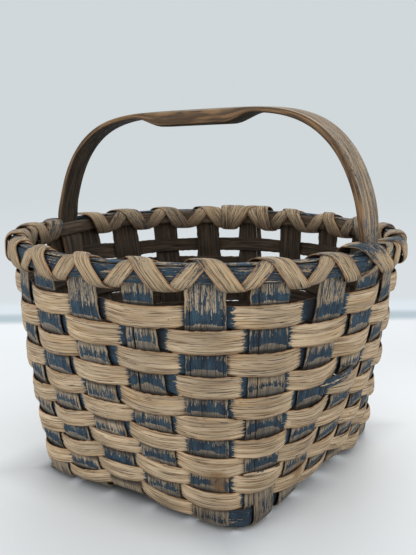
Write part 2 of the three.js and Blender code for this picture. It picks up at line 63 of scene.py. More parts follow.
BASE_MID = SOLID_STRIP + CLEAR / 2
FOOT_Z = BASE_MID + BEND_SHARE * BEND_R
HOOP_H = 11.0
HOOP_TOP = TOP_Z + HOOP_H
HOOP_FACETS = 40
OUTER_IN = (WALL_R + SOLID_STRIP / 2 + CLEAR) / math.cos(math.pi / HOOP_FACETS)
OUTER_THICK, INNER_THICK = 4.3, 4.2
INNER_OUT = WALL_R - SOLID_STRIP / 2 - 1.6 * CLEAR
HANDLE_Y, HANDLE_W, HANDLE_T = -8.5, 22.6, 4.4
NOTCH_T, TAIL_T, GRIP_T = 3.4, 2.2, 12.2
GRIP_HALF, GRIP_RAMP, GRIP_X, TAIL_LEN = 29.0, 27.0, -2.2, 76.0
HANDLE_RISE, HANDLE_TILT, HANDLE_LEAN, LEAN_SHARE = 96.4, 6.3, 1.0, 0.33
SHOULDER_POWER, CROWN_POWER = 4.65, 1.6
# the whittled bow is heavier in its right limb than in its left: added width and thickness by side
LIMB_WIDER, LIMB_THICKER = {1: 4.4, -1: -1.8}, {1: 2.0, -1: 0.0}
# height of each row of weaver, from the bottom
ROW_Z = np.array([10.4, 22.0, 34.2, 47.2, 59.6, 72.6, 87.0, 101.0, 116.0, 132.2, 147.9])

cad_mid = [(a + b) / 2 * 1000 for a, b in zip(*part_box("rim_hoop_outer"))]
OFFSET = np.array([cad_mid[0], cad_mid[1], 0.0])


def waves(seed, count=5, low=1, high=9):
    """A smooth periodic wobble of about unit size, as a function of an angle."""
    g = np.random.default_rng(seed)
    turns = g.integers(low, high, count)
    size = g.normal(0, 1, count) / math.sqrt(count)
    phase = g.uniform(0, 2 * math.pi, count)
    return lambda t: sum(size[i] * np.sin(turns[i] * t + phase[i]) for i in range(count))


def ease(t):
    c = np.clip(t, 0, 1)
    return c * c * (3 - 2 * c)


def ramp(x, start, reach):
    """Rises smoothly from 0 at start to 1 a reach further on."""
    return ease((x - start) / reach)


def unit(v):
    return v / np.linalg.norm(v, axis=-1, keepdims=True)


def run_along(points):
    """The length of a line up to each of its points."""
    return np.concatenate([[0], np.cumsum(np.linalg.norm(np.diff(points, axis=0), axis=1))])


def rounded(t, power):
    """Cosine and sine of an angle, squared off by a power below 1."""
    return [np.sign(v) * np.abs(v) ** power for v in (np.cos(t), np.sin(t))]


# The wall surface: u counts uprights round the basket, w goes from 0 at the foot to 1 at the rim
def line_x(i):
    return (i - (LONG - 1) / 2) * PITCH_X


def line_y(j):
    return (j - (CROSS - 1) / 2) * PITCH_Y


def foot_point(k):
    """Where upright k leaves the base. The second half of them lies opposite the first."""
    n = k % COUNT
    if n >= LONG + CROSS:
        return -foot_point(n - LONG - CROSS)
    return np.array([line_x(n), -HALF_Y] if n < LONG else [HALF_X, line_y(n - LONG)])


def foot_at(u):
    """A place on the foot of the wall: straight sides and rounded corners."""
    k = math.floor(u)
    t = u - k
    a, b = foot_point(k), foot_point(k + 1)
    if abs(a[0] - b[0]) < MARGIN or abs(a[1] - b[1]) < MARGIN:
        return a + (b - a) * t
    centre = np.sign(a + b) * np.array([HALF_X - CORNER_R, HALF_Y - CORNER_R])
    on_long = abs(abs(a[1]) - HALF_Y) < MARGIN
    start = np.array([centre[0], a[1]]) if on_long else np.array([a[0], centre[1]])
    end = np.array([b[0], centre[1]]) if on_long else np.array([centre[0], b[1]])
    before, after = np.linalg.norm(a - start), np.linalg.norm(b - end)
    arc = CORNER_R * math.pi / 2
    s = t * (before + arc + after)
    if s < before:
        return a + (start - a) * s / before
    if s > before + arc:
        return end + (b - end) * (s - before - arc) / after
    angle = math.atan2(*(start - centre)[::-1]) + (s - before) / CORNER_R
    return centre + CORNER_R * np.array([math.cos(angle), math.sin(angle)])


# where the foot of the wall is drawn in at its rounded corners: place, how far and how widely
CORNER_PULL = ((4.5, 1.0, 0.4), (10.35, 9.0, 1.05), (15.5, 5.0, 0.8), (21.5, 6.5, 0.5))


def drawn_in(u):
    place = foot_at(u)
    pull = 0.0
    for middle, far, spread in CORNER_PULL:
        away = (u - middle + COUNT / 2) % COUNT - COUNT / 2
        pull += far * math.exp(-((away / spread) ** 2))
    return place - place / np.linalg.norm(place) * pull


TABLE_STEP = 0.01
TABLE_U = np.arange(0, COUNT + TABLE_STEP / 2, TABLE_STEP)
TABLE_XY = np.array([drawn_in(u) for u in TABLE_U])


def foot_xy(u):
    v = np.mod(u, COUNT)
    return np.interp(v, TABLE_U, TABLE_XY[:, 0]), np.interp(v, TABLE_U, TABLE_XY[:, 1])


def rim_angle(u):
    return RIM_TURN - math.pi / 2 + (u - (LONG - 1) / 2) * PITCH_ANGLE


def rise_at(x, y):
    """How far the base is pushed up."""
    edge = UPRIGHT_WIDTH / 2 + 2 * MARGIN
    flat_x, flat_y = line_x(LONG - 1) - edge, line_y(CROSS - 1) - edge
    return BASE_RISE * (1 - ease(np.abs(x) / flat_x) * ease(np.abs(y) / flat_y))


def wall(u, w):
    u, w = np.broadcast_arrays(np.asarray(u, float), np.asarray(w, float))
    fx, fy = foot_xy(u)
    share = w + BULGE * np.sin(np.pi * w)
    angle = rim_angle(u)
    x = (fx + SHIFT_X) * (1 - share) + WALL_R * np.cos(angle) * share
    y = (fy + SHIFT_Y) * (1 - share) + WALL_R * np.sin(angle) * share
    z = FOOT_Z + (TOP_Z - FOOT_Z) * w + rise_at(fx, fy) * (1 - w)
    return np.stack([x, y, z], -1)


def wall_frame(u, w, near=4e-3):
    """Points on the wall, its directions up and outward there, and the length of one pitch."""
    along = (wall(np.add(u, near), w) - wall(np.subtract(u, near), w)) / (2 * near)
    slope = (wall(u, np.add(w, near)) - wall(u, np.subtract(w, near))) / (2 * near)
    out = unit(np.cross(unit(along), slope))
    return wall(u, w), np.cross(out, unit(along)), out, np.linalg.norm(along, axis=-1)


def w_of(z):
    return (z - FOOT_Z) / (TOP_Z - FOOT_Z)


# the bottom row goes inside this upright, where the pattern has it outside
MISSED_ROW, MISSED_UPRIGHT = 0, 5


def pass_side(r, k):
    """1 where row r passes outside upright k, and -1 where it passes inside."""
    if (r, k % COUNT) == (MISSED_ROW, MISSED_UPRIGHT):
        return -1
    return 1 if (ROWS - r + k) % 2 == 0 else -1


# Meshes
def build(name, points, faces, values):
    """A mesh object from points in millimetres, faces and the values kept on the points."""
    mesh = bpy.data.meshes.new(name)
    mesh.from_pydata(((points + OFFSET) / 1000).tolist(), [], faces)
    for key, data in values.items():
        kind, slot = ("FLOAT", "value") if data.ndim == 1 else ("FLOAT_VECTOR", "vector")
        mesh.attributes.new(key, kind, "POINT").data.foreach_set(slot, data.astype(np.float32).ravel())
    shape = bmesh.new()
    shape.from_mesh(mesh)
    bmesh.ops.recalc_face_normals(shape, faces=shape.faces)
    shape.to_mesh(mesh)
    shape.free()
    mesh.polygons.foreach_set("use_smooth", [True] * len(mesh.polygons))
    obj = bpy.data.objects.new(name, mesh)
    bpy.context.scene.collection.objects.link(obj)
    return obj


def add(obj, node, material):
    obj.data.materials.append(material)
    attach(obj, "root")
    if node:
        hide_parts(node)
    return obj


def round_faces(rows, ring, start=0):
    """Four-sided faces round a tube of rows of points, each of them a ring."""
    row, i = np.meshgrid(np.arange(rows - 1), np.arange(ring), indexing="ij")
    j = (i + 1) % ring
    corners = [row * ring + i, row * ring + j, (row + 1) * ring + j, (row + 1) * ring + i]
    return (np.stack(corners, -1).reshape(-1, 4) + start).tolist()


def tube_faces(rows, ring):
    last = (rows - 1) * ring
    return round_faces(rows, ring) + [list(range(ring)), list(range(last, last + ring))[::-1]]


def surface(shape, length, girth, seed, share, side, shade_and_stain, paint, band):
    """What the materials read at each point of a grid: the length along and the girth, a seed, the share
    across, 1 on an outer face and -1 on an inner one, how much painted shade and stain there is, and how
    much paint and bare band."""
    grid = [np.broadcast_to(v, shape) for v in (length, girth, seed, share, side, shade_and_stain, paint, band)]
    run = np.stack([grid[0] / 1000, grid[1] / 1000, grid[2]], -1)
    return {
        "run": run.reshape(-1, 3),
        "cell": np.stack(grid[3:6], -1).reshape(-1, 3),
        "paint": grid[6].ravel(),
        "band": grid[7].ravel(),
    }


def both(outer, inner, shape):
    """Values of the outer face of a splint and then, in turned order, of its inner face."""
    return np.concatenate([np.broadcast_to(outer, shape), np.broadcast_to(inner, shape)[:, ::-1]], 1)


# a splint thins from this share of its half width on; its inner face gets this share of painted shade and
# stain
THIN_FROM, INNER_SHADE_AND_STAIN = 0.86, 0.2


def splint_set(name, pieces, thick, seed, edge=0.25):
    """Thin splints as one object. Each piece is a grid of middle points, stations by columns, with its
    normals, length along, place across, paint, painted shade and stain, bare band and place across as a
    share."""
    all_points, all_faces, reads = [], [], []
    base = 0
    for mid, normal, length, across, paint, shade_and_stain, band, share in pieces:
        grid = mid.shape[:2]
        rows, ring = grid[0], 2 * grid[1]
        own = np.abs(np.linspace(-1, 1, grid[1]))
        half = thick / 2 * (1 - edge * np.clip((own - THIN_FROM) / (1 - THIN_FROM), 0, 1))[:, None]
        points = np.concatenate([mid + normal * half, (mid - normal * half)[:, ::-1]], 1)
        all_points.append(points.reshape(-1, 3))
        all_faces += round_faces(rows, ring, base)
        last = base + (rows - 1) * ring
        for a in range(grid[1] - 1):
            b = ring - 1 - a
            all_faces.append([base + a, base + b, base + b - 1, base + a + 1])
            all_faces.append([last + a, last + a + 1, last + b - 1, last + b])
        pairs = ((length, length), (across, across), (seed, seed), (share, share), (1.0, -1.0),
                 (shade_and_stain, INNER_SHADE_AND_STAIN * shade_and_stain), (paint, paint), (band, band))
        reads.append(surface((rows, ring), *[both(*pair, grid) for pair in pairs]))
        base += rows * ring
    values = {key: np.concatenate([read[key] for read in reads]) for key in reads[0]}
    return build(name, np.concatenate(all_points), all_faces, values)


def splint(name, mid, normal, thick, length, across, paint, shade_and_stain, seed, edge):
    share = np.linspace(-1, 1, mid.shape[1])[None, :]
    return splint_set(name, [(mid, normal, length, across, paint, shade_and_stain, 0.0, share)], thick, seed, edge)


# Materials
SEED_STEP = 7.13


class Graph:
    """Short calls for the node tree of a material or a world."""

    def __init__(self, owner):
        owner.use_nodes = True
        self.tree = owner.node_tree
        self.tree.nodes.clear()

    def put(self, socket, value):
        if isinstance(value, bpy.types.NodeSocket):
            self.tree.links.new(value, socket)
        else:
            socket.default_value = value

    def node(self, kind, inputs=None, out=0, **settings):
        """One output of a new node, with its inputs by name or number."""
        node = self.tree.nodes.new("ShaderNode" + kind)
        for key, value in settings.items():
            setattr(node, key, value)
        for key, value in (inputs or {}).items():
            self.put(node.inputs[key], value)
        return node.outputs[out] if node.outputs else None

    def math(self, op, a, b=0.0):
        return self.node("Math", {0: a, 1: b}, operation=op)

    def add(self, *terms):
        total = terms[0]
        for term in terms[1:]:
            total = self.math("ADD", total, term)
        return total

    def mul(self, a, b):
        return self.math("MULTIPLY", a, b)

    def size(self, value):
        return self.math("ABSOLUTE", value)

    def rest(self, value):
        """What a value leaves of 1."""
        return self.math("SUBTRACT", 1.0, value)

    def swing(self, noise, amount):
        """A noise value moved to swing about zero."""
        return self.mul(self.math("SUBTRACT", noise, 0.5), amount)

    def split(self, vector):
        return [self.node("SeparateXYZ", {0: vector}, axis) for axis in "XYZ"]

    def place(self):
        return self.node("NewGeometry", out="Position")

    def step(self, value, low, high, amount=1.0):
        """Goes smoothly from 0 to 1, or to an amount, between two values."""
        inputs = {"Value": value, "From Min": low, "From Max": high}
        smooth = self.node("MapRange", inputs, interpolation_type="SMOOTHSTEP")
        return smooth if amount == 1.0 else self.mul(smooth, amount)

    def mix(self, share, a, b):
        a, b = ((*v, 1.0) if isinstance(v, tuple) else v for v in (a, b))
        return self.node("Mix", {0: share, 6: a, 7: b}, 2, data_type="RGBA")

    def grain(self, run, along, across, detail=2.0, rough=0.55):
        """Noise stretched along the splint: feature sizes in millimetres along and across."""
        x, y, z = self.split(run)
        place = {0: self.mul(x, 1000.0 / along), 1: self.mul(y, 1000.0 / across), 2: self.mul(z, SEED_STEP)}
        sizes = {"Vector": self.node("CombineXYZ", place), "Scale": 1.0, "Detail": detail, "Roughness": rough}
        return self.node("TexNoise", sizes, noise_dimensions="3D")


# patterns of the wood: feature sizes along and across the splint in mm, detail and roughness
GRAINS = {
    "cracks": (17, 1.1, 2.0, 0.5),
    "streak": (34, 1.9),
    "broad": (55, 9),
    "tear": (6.5, 0.8, 3.0, 0.62),
    "patch": (9, 5, 3.0, 0.6),
    "pore": (2.6, 0.45),
    "worm": (3.4, 2.6, 1.0),
    "speck": (1.9, 0.75, 2.0, 0.6),
    "tone": (95, 26, 1.0),
    "hue": (48, 7),
}
# detail and roughness of the fine lines
LINE_GRAIN = (3.0, 0.62)
# where a pattern's mask starts and is full, and how much of its colour then shows
LIGHT_STEP, DARK_STEP, LINE_STEP = (0.32, 0.68), (0.4, 0.62), (0.51, 0.59)
BROAD_STEP, TONE_STEP, HUE_STEP = (0.42, 0.75, 0.35), (0.45, 0.7, 0.4), (0.5, 0.72, 0.3)
WORM_STEP, PORE_STEP, NEAR_STEP = (0.785, 0.82, 0.85), (0.5, 0.62), (0.08, 0.5)
FILM_STEP, MASK_STEP, BARE_STEP = (0.35, 0.7), (0.47, 0.54), (0.35, 0.7)
FACE_STEP, SIDE_STEP, TONE_OF_SIDE_STEP = (-0.4, 0.2), (0.8, 0.97), (0.42, 0.62)
CRACK_LEVEL, CRACK_SOFT, CRACKS_SHOW, EDGE_SOFT = 0.7, 0.035, 0.9, 0.06
# how strongly each pattern tears the edge of the paint
TEAR_SWING, STREAK_SWING, SPECK_SWING, BAND_DROP = 1.5, 0.8, 0.9, -3.0
# how high lines, paint, streaks and cracks stand
HEIGHTS = (-1.0, 0.3, 0.9, -1.4)
BUMP, BUMP_DEPTH, SPECULAR = 0.7, 0.0006, 0.25
SPOT_SWING, SPOT_SHOWS = 0.02, 0.85

PAINT = ((0.014, 0.032, 0.052), (0.035, 0.07, 0.1))
PAINT_LINE = (0.008, 0.013, 0.02)
EDGE_BROWN = (0.4, 0.205, 0.085)
BAND, BAND_LINE = (0.17, 0.145, 0.115), (0.06, 0.052, 0.044)
INSIDE = ((0.036, 0.024, 0.015), (0.1, 0.068, 0.042))
INSIDE_LINE = (0.015, 0.011, 0.008)
WORM_HOLE = (0.05, 0.03, 0.018)
STAIN, SPOT = (0.15, 0.1, 0.062), (0.24, 0.135, 0.055)
GREY, WARM, ORANGE = (0.27, 0.235, 0.19), (0.2, 0.115, 0.055), (0.55, 0.33, 0.13)
SIDES = ((0.3, 0.17, 0.08), (0.13, 0.075, 0.04))
DEEP = (0.012, 0.011, 0.011)


def spot_on_wall(u, z, reach):
    place = (wall(u, w_of(z)) + OFFSET) / 1000
    return tuple(float(v) for v in place), reach


STAINS = (spot_on_wall(4.17, 42.0, 0.011), spot_on_wall(6.05, 27.0, 0.013), spot_on_wall(4.2, 33.0, 0.008))


def bare_wood(g, grain, line_mask, light, mid, dark, lines):
    """Weathered wood: light and dark streaks, broad patches and fine dark lines."""
    greyed = tuple((a + b) / 2 for a, b in zip(mid, GREY))
    wood = g.mix(g.step(grain["streak"], *LIGHT_STEP), light, mid)
    wood = g.mix(g.step(grain["broad"], *BROAD_STEP), wood, dark)
    wood = g.mix(g.step(grain["tone"], *TONE_STEP), wood, greyed)
    wood = g.mix(g.step(grain["hue"], *HUE_STEP), wood, ORANGE)
    return g.mix(g.mul(line_mask, lines), wood, g.mix(g.step(grain["streak"], *DARK_STEP), dark, WARM))


def stained_wood(g, patch, colour):
    """Brown spots at places on the wall."""
    for spot, reach in STAINS:
        apart = g.node("VectorMath", {0: g.place(), 1: spot}, "Value", operation="DISTANCE")
        spread = g.add(apart, g.swing(patch, SPOT_SWING))
        colour = g.mix(g.step(spread, reach, 0.0, SPOT_SHOWS), colour, SPOT)
    return colour


def splint_material(name, wood_colours, paint=PAINT, inside=INSIDE, sides=SIDES, ragged=1.0, patchy=0.6,
                    lines=0.6, line_size=(22, 0.75), edge_amount=0.7, edge_from=0.91, stained=False):
    mat = bpy.data.materials.new(name)
    g = Graph(mat)
    run, cell = (g.node("Attribute", out="Vector", attribute_name=key) for key in ("run", "cell"))
    amount, band = (g.node("Attribute", out="Fac", attribute_name=key) for key in ("paint", "band"))
    across, face_side, shade_and_stain = g.split(cell)
    fine = g.grain(run, *line_size, *LINE_GRAIN)
    grain = {key: g.grain(run, *sizes) for key, sizes in GRAINS.items()}
    streak, tear, patch = grain["streak"], grain["tear"], grain["patch"]
    line_mask = g.step(fine, *LINE_STEP)
    crack_level = g.math("SUBTRACT", CRACK_LEVEL, g.mul(amount, 0.08))
    crack_mask = g.step(grain["cracks"], crack_level, g.math("ADD", crack_level, CRACK_SOFT))
    wood = bare_wood(g, grain, line_mask, *wood_colours, lines)
    wood = g.mix(g.mul(crack_mask, CRACKS_SHOW), wood, DEEP)
    wood = g.mix(g.step(grain["worm"], *WORM_STEP), wood, WORM_HOLE)
    # paint left in the pores near the painted parts
    near = g.step(g.add(amount, g.swing(streak, 0.9)), *NEAR_STEP)
    wood = g.mix(g.mul(g.mul(g.step(grain["pore"], *PORE_STEP), near), 0.75), wood, paint[0])
    # a bare band that a neighbour once covered
    wood = g.mix(g.mul(band, 0.9), wood, g.mix(g.mul(line_mask, 0.7), BAND, BAND_LINE))
    # rubbed edges, bare and orange-brown, with a painted highlight along them
    edge_wear_and_highlight = g.add(g.size(across), g.swing(tear, EDGE_SOFT))
    wood = g.mix(g.step(edge_wear_and_highlight, edge_from, edge_from + EDGE_SOFT, edge_amount), wood, EDGE_BROWN)
    # paint film
    film = g.mix(g.step(patch, *FILM_STEP), *paint)
    film = g.mix(g.mul(line_mask, 0.45), film, PAINT_LINE)
    level = g.add(
        amount,
        g.swing(tear, TEAR_SWING * ragged),
        g.swing(patch, patchy),
        g.swing(grain["speck"], SPECK_SWING),
        g.swing(streak, STREAK_SWING * ragged),
        g.mul(band, BAND_DROP),
    )
    mask = g.step(level, *MASK_STEP)
    # the inner face was never painted and has gone dark
    bare = g.mix(g.step(streak, *BARE_STEP), *inside)
    bare = g.mix(g.mul(line_mask, 0.6), bare, INSIDE_LINE)
    colour = g.mix(g.step(face_side, *FACE_STEP), bare, g.mix(mask, wood, film))
    # the narrow sides of a splint
    side = g.rest(g.step(g.size(face_side), *SIDE_STEP))
    side_tone = g.step(g.add(streak, g.mul(line_mask, 0.16)), *TONE_OF_SIDE_STEP)
    colour = g.mix(g.mul(side, 0.8), colour, g.mix(side_tone, *sides))
    if stained:
        colour = stained_wood(g, patch, colour)
    # inside the basket the wood has gone brown; painted shade, near black, where splints go under each other
    colour = g.mix(g.mul(shade_and_stain, -1.0), colour, g.mix(line_mask, STAIN, INSIDE[0]))
    colour = g.mix(shade_and_stain, colour, DEEP)
    height = g.add(*(g.mul(*pair) for pair in zip((fine, mask, streak, crack_mask), HEIGHTS)))
    finish = {
        "Base Color": colour,
        "Roughness": g.add(0.6, g.mul(fine, 0.3)),
        "Specular IOR Level": SPECULAR,
        "Normal": g.node("Bump", {"Strength": BUMP, "Distance": BUMP_DEPTH, "Height": height}),
    }
    g.node("OutputMaterial", {"Surface": g.node("BsdfPrincipled", finish)})
    return mat


# light, middle and dark colours of each kind of wood
WEAVER_WOOD = ((0.65, 0.495, 0.325), (0.42, 0.3, 0.175), (0.055, 0.04, 0.028))
UPRIGHT_WOOD = ((0.44, 0.355, 0.25), (0.29, 0.23, 0.16), (0.075, 0.058, 0.042))
LASH_WOOD = ((0.54, 0.402, 0.24), (0.4, 0.295, 0.18), (0.085, 0.058, 0.038))
RIM_WOOD = ((0.38, 0.29, 0.19), (0.26, 0.195, 0.13), (0.08, 0.06, 0.042))
HANDLE_WOOD = ((0.46, 0.35, 0.235), (0.25, 0.2, 0.148), (0.05, 0.038, 0.028))
HANDLE_PAINT = ((0.02, 0.03, 0.04), (0.12, 0.135, 0.145))
HANDLE_INSIDE = ((0.028, 0.02, 0.014), (0.1, 0.07, 0.044))

weaver_mat = splint_material("weaver splint", WEAVER_WOOD, lines=0.85, line_size=(26, 0.62), stained=True)
upright_mat = splint_material("upright splint", UPRIGHT_WOOD, ragged=1.2, patchy=0.8, lines=0.75,
                              line_size=(26, 0.7), edge_amount=0.12, stained=True,
                              sides=((0.3, 0.23, 0.155), (0.1, 0.075, 0.052)))
lash_mat = splint_material("lashing splint", LASH_WOOD, line_size=(24, 0.75), lines=0.9, edge_amount=0.85,
                           edge_from=0.86)
rim_mat = splint_material("rim hoop", RIM_WOOD, patchy=1.0,
                          inside=((0.075, 0.052, 0.034), (0.16, 0.112, 0.072)))
handle_mat = splint_material("handle wood", HANDLE_WOOD, paint=HANDLE_PAINT, inside=HANDLE_INSIDE, lines=0.85,
                             line_size=(46, 0.8), edge_amount=0.6,
                             sides=((0.23, 0.13, 0.06), (0.05, 0.034, 0.022)))

# Weavers: stations to a pass and columns, then how far past its first and last upright each one runs
STEPS, COLS = 20, 11
LAP, TAIL = 2, 0.25
BOTTOM_BELOW, TOP_ABOVE, ROW_GAP = 6.8, 7.4, 0.5
OUT_BULGE, IN_BULGE, OUT_POWER, IN_POWER = 3.3, 3.0, 0.95, 0.75
# how much height, width and bulge vary from pass to pass, and how the height wanders
HEIGHT_VARIES, WIDTH_VARIES, BULGE_VARIES, HEIGHT_WANDERS = 0.45, 0.35, 0.45, 0.25
# how far a lapped end stands off the end that it covers, where it is free and where it is pressed
LAP_FREE, LAP_PRESSED, LAP_RAMP = 1.3, 0.3, 0.5
# place off the wall and side of the pass beside the missed upright
MISSED_OFF = ((-1, -0.7, -0.3, -0.12, 0.2, 1), (-3, 0.2, 0.4, -2.6, -3, -3))
MISSED_PASS = ((-1, -0.6, 0, 1), (-1, -0.2, -1, -1))
# where the lower edge of the bottom row stands up on its way over an upright: place, height, reach
FOOT_RISES = ((0.85, 4.5, 0.6), (3.0, 1.8, 0.6), (7.15, 6.5, 0.6))
# across its width a weaver is crowned, leans out at its foot and is a little ridged
CROWN, CROWN_UNDER, CROWN_DOWN, EDGE_ROLL = 0.95, 0.35, 0.5, 0.35
LEANS, LEAN_VARIES, RIDGE, EDGE_WANDERS = 0.45, 0.25, 0.07, 0.22
# the two top rows have drawn apart at the back: which way, how far, where and how widely
APART_WAY = {ROWS - 2: 1, ROWS - 1: -1}
APART, APART_AT, APART_REACH = 2.4, 14.3, 3.0
# the front corner is darker: how much, how far before upright LONG and how widely
CORNER_DARK, CORNER_DARK_BEFORE, CORNER_DARK_REACH = 0.3, 0.4, 1.5
# paint starts this share of the way to the next upright, more or less, and painted shade a little later
PAINT_FROM, PAINT_VARIES, PAINT_MISSED = 0.59, 0.035, 0.8
# painted shade where a weaver goes under an upright, and on the stretch beside the missed upright
UNDER_SHADE, UNDER_FROM, UNDER_RAMP, MISSED_SHADE = 0.9, 0.6, 0.14, 0.35
# painted shade along a weaver's lower edge and towards the foot of the wall
LOW_EDGE_SHADE, LOW_SHADE, LOW_FROM, LOW_REACH = 0.28, 0.45, 2, 22
# the edges between the rows, from the bottom
ROW_EDGES = np.array([ROW_Z[0] - BOTTOM_BELOW, *(ROW_Z[:-1] + ROW_Z[1:]) / 2, ROW_Z[-1] + TOP_ABOVE])


def outside_place(u, r):
    """The nearest upright that row r passes outside, and the place beside it, from -1 to 1."""
    odd = (ROWS - r) % 2
    k = (2 * np.floor((u - odd) / 2 + 0.5) + odd).astype(int)
    return k, u - k


def per_pass(values, u):
    """Values given for each pass, blended along the splint."""
    low = np.floor(u).astype(int)
    t = ease(u - low)
    return values[np.mod(low, COUNT)] * (1 - t) + values[np.mod(low + 1, COUNT)] * t


def foot_rise(u):
    k = np.mod(u, COUNT)
    return sum(up * np.exp(-(((k - at) / reach) ** 2)) for at, up, reach in FOOT_RISES)


def corner_dark(u):
    """How much darker the wood is near the front corner, at places along the wall."""
    return CORNER_DARK * np.exp(-(((np.mod(u, COUNT) - LONG + CORNER_DARK_BEFORE) / CORNER_DARK_REACH) ** 2))


def weaver_middle(r, u, angle, shift, slim):
    """Heights of the middle of row r and its widths, measured straight up."""
    low, high = ROW_EDGES[r:r + 2]
    if r == 0:
        low = low + foot_rise(u)
    z = (low + high) / 2 + HEIGHT_WANDERS * waves(100 + r)(angle) + HEIGHT_VARIES * per_pass(shift, u)
    width = (high - low) - ROW_GAP + WIDTH_VARIES * per_pass(slim, u)
    near = (np.mod(u, COUNT) - APART_AT) / APART_REACH
    apart = APART_WAY.get(r, 0) * APART * np.exp(-(near ** 4))
    return z - apart / 2, width - np.abs(apart)


def weaver_off(c_pass, puff, n):
    """How far the middle of a weaver stands off the wall, with its ends lapped."""
    out = c_pass > 0
    amount = np.where(out, OUT_BULGE + BULGE_VARIES * puff, IN_BULGE)
    off = amount * np.sign(c_pass) * np.abs(c_pass) ** np.where(out, OUT_POWER, IN_POWER)
    late = ramp(n, COUNT - 0.45, LAP_RAMP)
    early = 1 - ramp(n, LAP - 0.1, LAP_RAMP)
    off = off + late * np.where(out, LAP_FREE, LAP_PRESSED)
    return off - early * np.where(c_pass < 0, LAP_FREE, LAP_PRESSED)


def weaver(r, start):
    total = COUNT + LAP
    u = start - TAIL + np.arange(total * STEPS + 1) / STEPS * (total + 2 * TAIL) / total
    g = np.random.default_rng(900 + r)
    shift, slim, puff, limit_left, limit_right, nod = g.normal(0, 1, (6, COUNT))
    angle = u * PITCH_ANGLE
    k, d = outside_place(u, r)
    away = np.abs(d)
    z, width = weaver_middle(r, u, angle, shift, slim)
    p, rise, out, _ = wall_frame(u, w_of(z))
    width = width / np.abs(rise[..., 2])
    c_pass = np.cos(np.pi * away)
    off = weaver_off(c_pass, per_pass(puff, u), u - start)
    hidden = np.zeros_like(u)
    near = np.mod(u, COUNT) - MISSED_UPRIGHT
    here = (r == MISSED_ROW) & (near > -1) & (near < 1)
    if r == MISSED_ROW:
        off = np.where(here, np.interp(near, *MISSED_OFF), off)
        c_pass = np.where(here, np.interp(near, *MISSED_PASS), c_pass)
        # painted shade on the stretch tucked in beside the missed upright
        hidden = np.where(here, MISSED_SHADE * ramp(near, -0.85, 0.2), 0)
    c = np.linspace(-1, 1, COLS)
    end = np.sign(c) * np.abs(c) ** 3
    across = c * width[:, None] / 2
    low_edge, high_edge = waves(400 + r, 11, 20, 170)(angle), waves(430 + r, 11, 20, 170)(angle)
    across = across + EDGE_WANDERS * (end * np.where(c < 0, low_edge[:, None], high_edge[:, None]))
    arch = np.clip(c_pass, 0, 1)[:, None]
    crown = CROWN * (1 - np.abs(c) ** 2.4) * (CROWN_UNDER + (1 - CROWN_UNDER) * arch) - CROWN_DOWN
    lean = -(LEANS + LEAN_VARIES * per_pass(nod, u))[:, None] * c * arch
    ridge = RIDGE * np.sin(c * 9.0 + 0.5 * r) * np.sin(angle * 7 + r)[:, None]
    stand = off[:, None] + crown + lean + ridge
    mid = p[:, None] + rise[:, None] * across[..., None] + out[:, None] * stand[..., None]
    normal = out[:, None] + rise[:, None] * (EDGE_ROLL * end * arch)[..., None]
    varies = np.where(d < 0, limit_left[np.mod(k, COUNT)], limit_right[np.mod(k, COUNT)])
    limit = PAINT_FROM + PAINT_VARIES * varies
    paint = ease((away - limit + 0.1) / 0.2)[:, None] + 0.05 * np.abs(c) ** 3
    paint = np.where(here[:, None], PAINT_MISSED, paint)
    # painted shade under the uprights, along the lower edge and towards the foot; darker near the front
    # corner
    shade_and_stain = np.maximum(UNDER_SHADE * ramp(away, UNDER_FROM, UNDER_RAMP), hidden)[:, None]
    shade_and_stain = shade_and_stain + LOW_EDGE_SHADE * ramp(-c, 0.8, 0.2) * arch
    shade_and_stain = shade_and_stain + corner_dark(u)[:, None] * arch + LOW_SHADE * (1 - ramp(mid[..., 2], LOW_FROM, LOW_REACH)) * arch
    node = f"weaver_{r + 1}"
    length, seed = run_along(p)[:, None], 3.7 * r + 1.3
    obj = splint(node + "_splint", mid, unit(normal), WEAVER_THICK, length, across, paint, shade_and_stain, seed, 0.35)
    add(obj, node, weaver_mat)


FIRST_START = LONG + CROSS - 1
for r in range(ROWS):
    wished = FIRST_START + (r * 2) % LONG
    weaver(r, wished if pass_side(r, wished) < 0 else wished + 1)


SLIVER_STATIONS, SLIVER_COLS, SLIVER_THICK, SLIVER_ARCH, SLIVER_CROWN = 26, 5, 0.8, 0.8, 0.2
# a sliver's width at its tips and how fast it grows, then the share of a half wave that it is bowed by
TIP_SHARE, TAPER, BOW_FROM, BOW_SHARE = 0.25, 5, 0.12, 0.76


def sliver(name, u_ends, z_ends, width, stand, paint, seed):
    """A loose thin splint beside a weaver, tapered at both ends."""
    t = np.linspace(0, 1, SLIVER_STATIONS)
    z = z_ends[0] + (z_ends[1] - z_ends[0]) * t + SLIVER_ARCH * np.sin(math.pi * t)
    p, rise, out, _ = wall_frame(np.linspace(*u_ends, len(t)), w_of(z))
    c = np.linspace(-1, 1, SLIVER_COLS)
    half = width / 2 * np.minimum(1, TAPER * np.minimum(t, 1 - t) + TIP_SHARE)
    bow = stand * np.sin(math.pi * (BOW_FROM + BOW_SHARE * t))[:, None] + SLIVER_CROWN * (1 - c ** 2)
    across = c * half[:, None]
    mid = p[:, None] + rise[:, None] * across[..., None] + out[:, None] * bow[..., None]
    normal = np.broadcast_to(out[:, None], mid.shape)
    obj = splint(name, mid, normal, SLIVER_THICK, run_along(p)[:, None], across, paint, 0.0, seed, 0.5)
    add(obj, None, weaver_mat)


sliver("sliver_right", (6.15, 7.1), (92.0, 95.5), 8.0, 5.4, 0.62, 211.0)
sliver("sliver_front", (3.5, 4.5), (80.0, 79.6), 3.6, 3.6, 0.15, 213.0)
sliver("sliver_low", (4.6, 5.45), (41.5, 40.0), 3.0, 3.4, 0.25, 217.0)

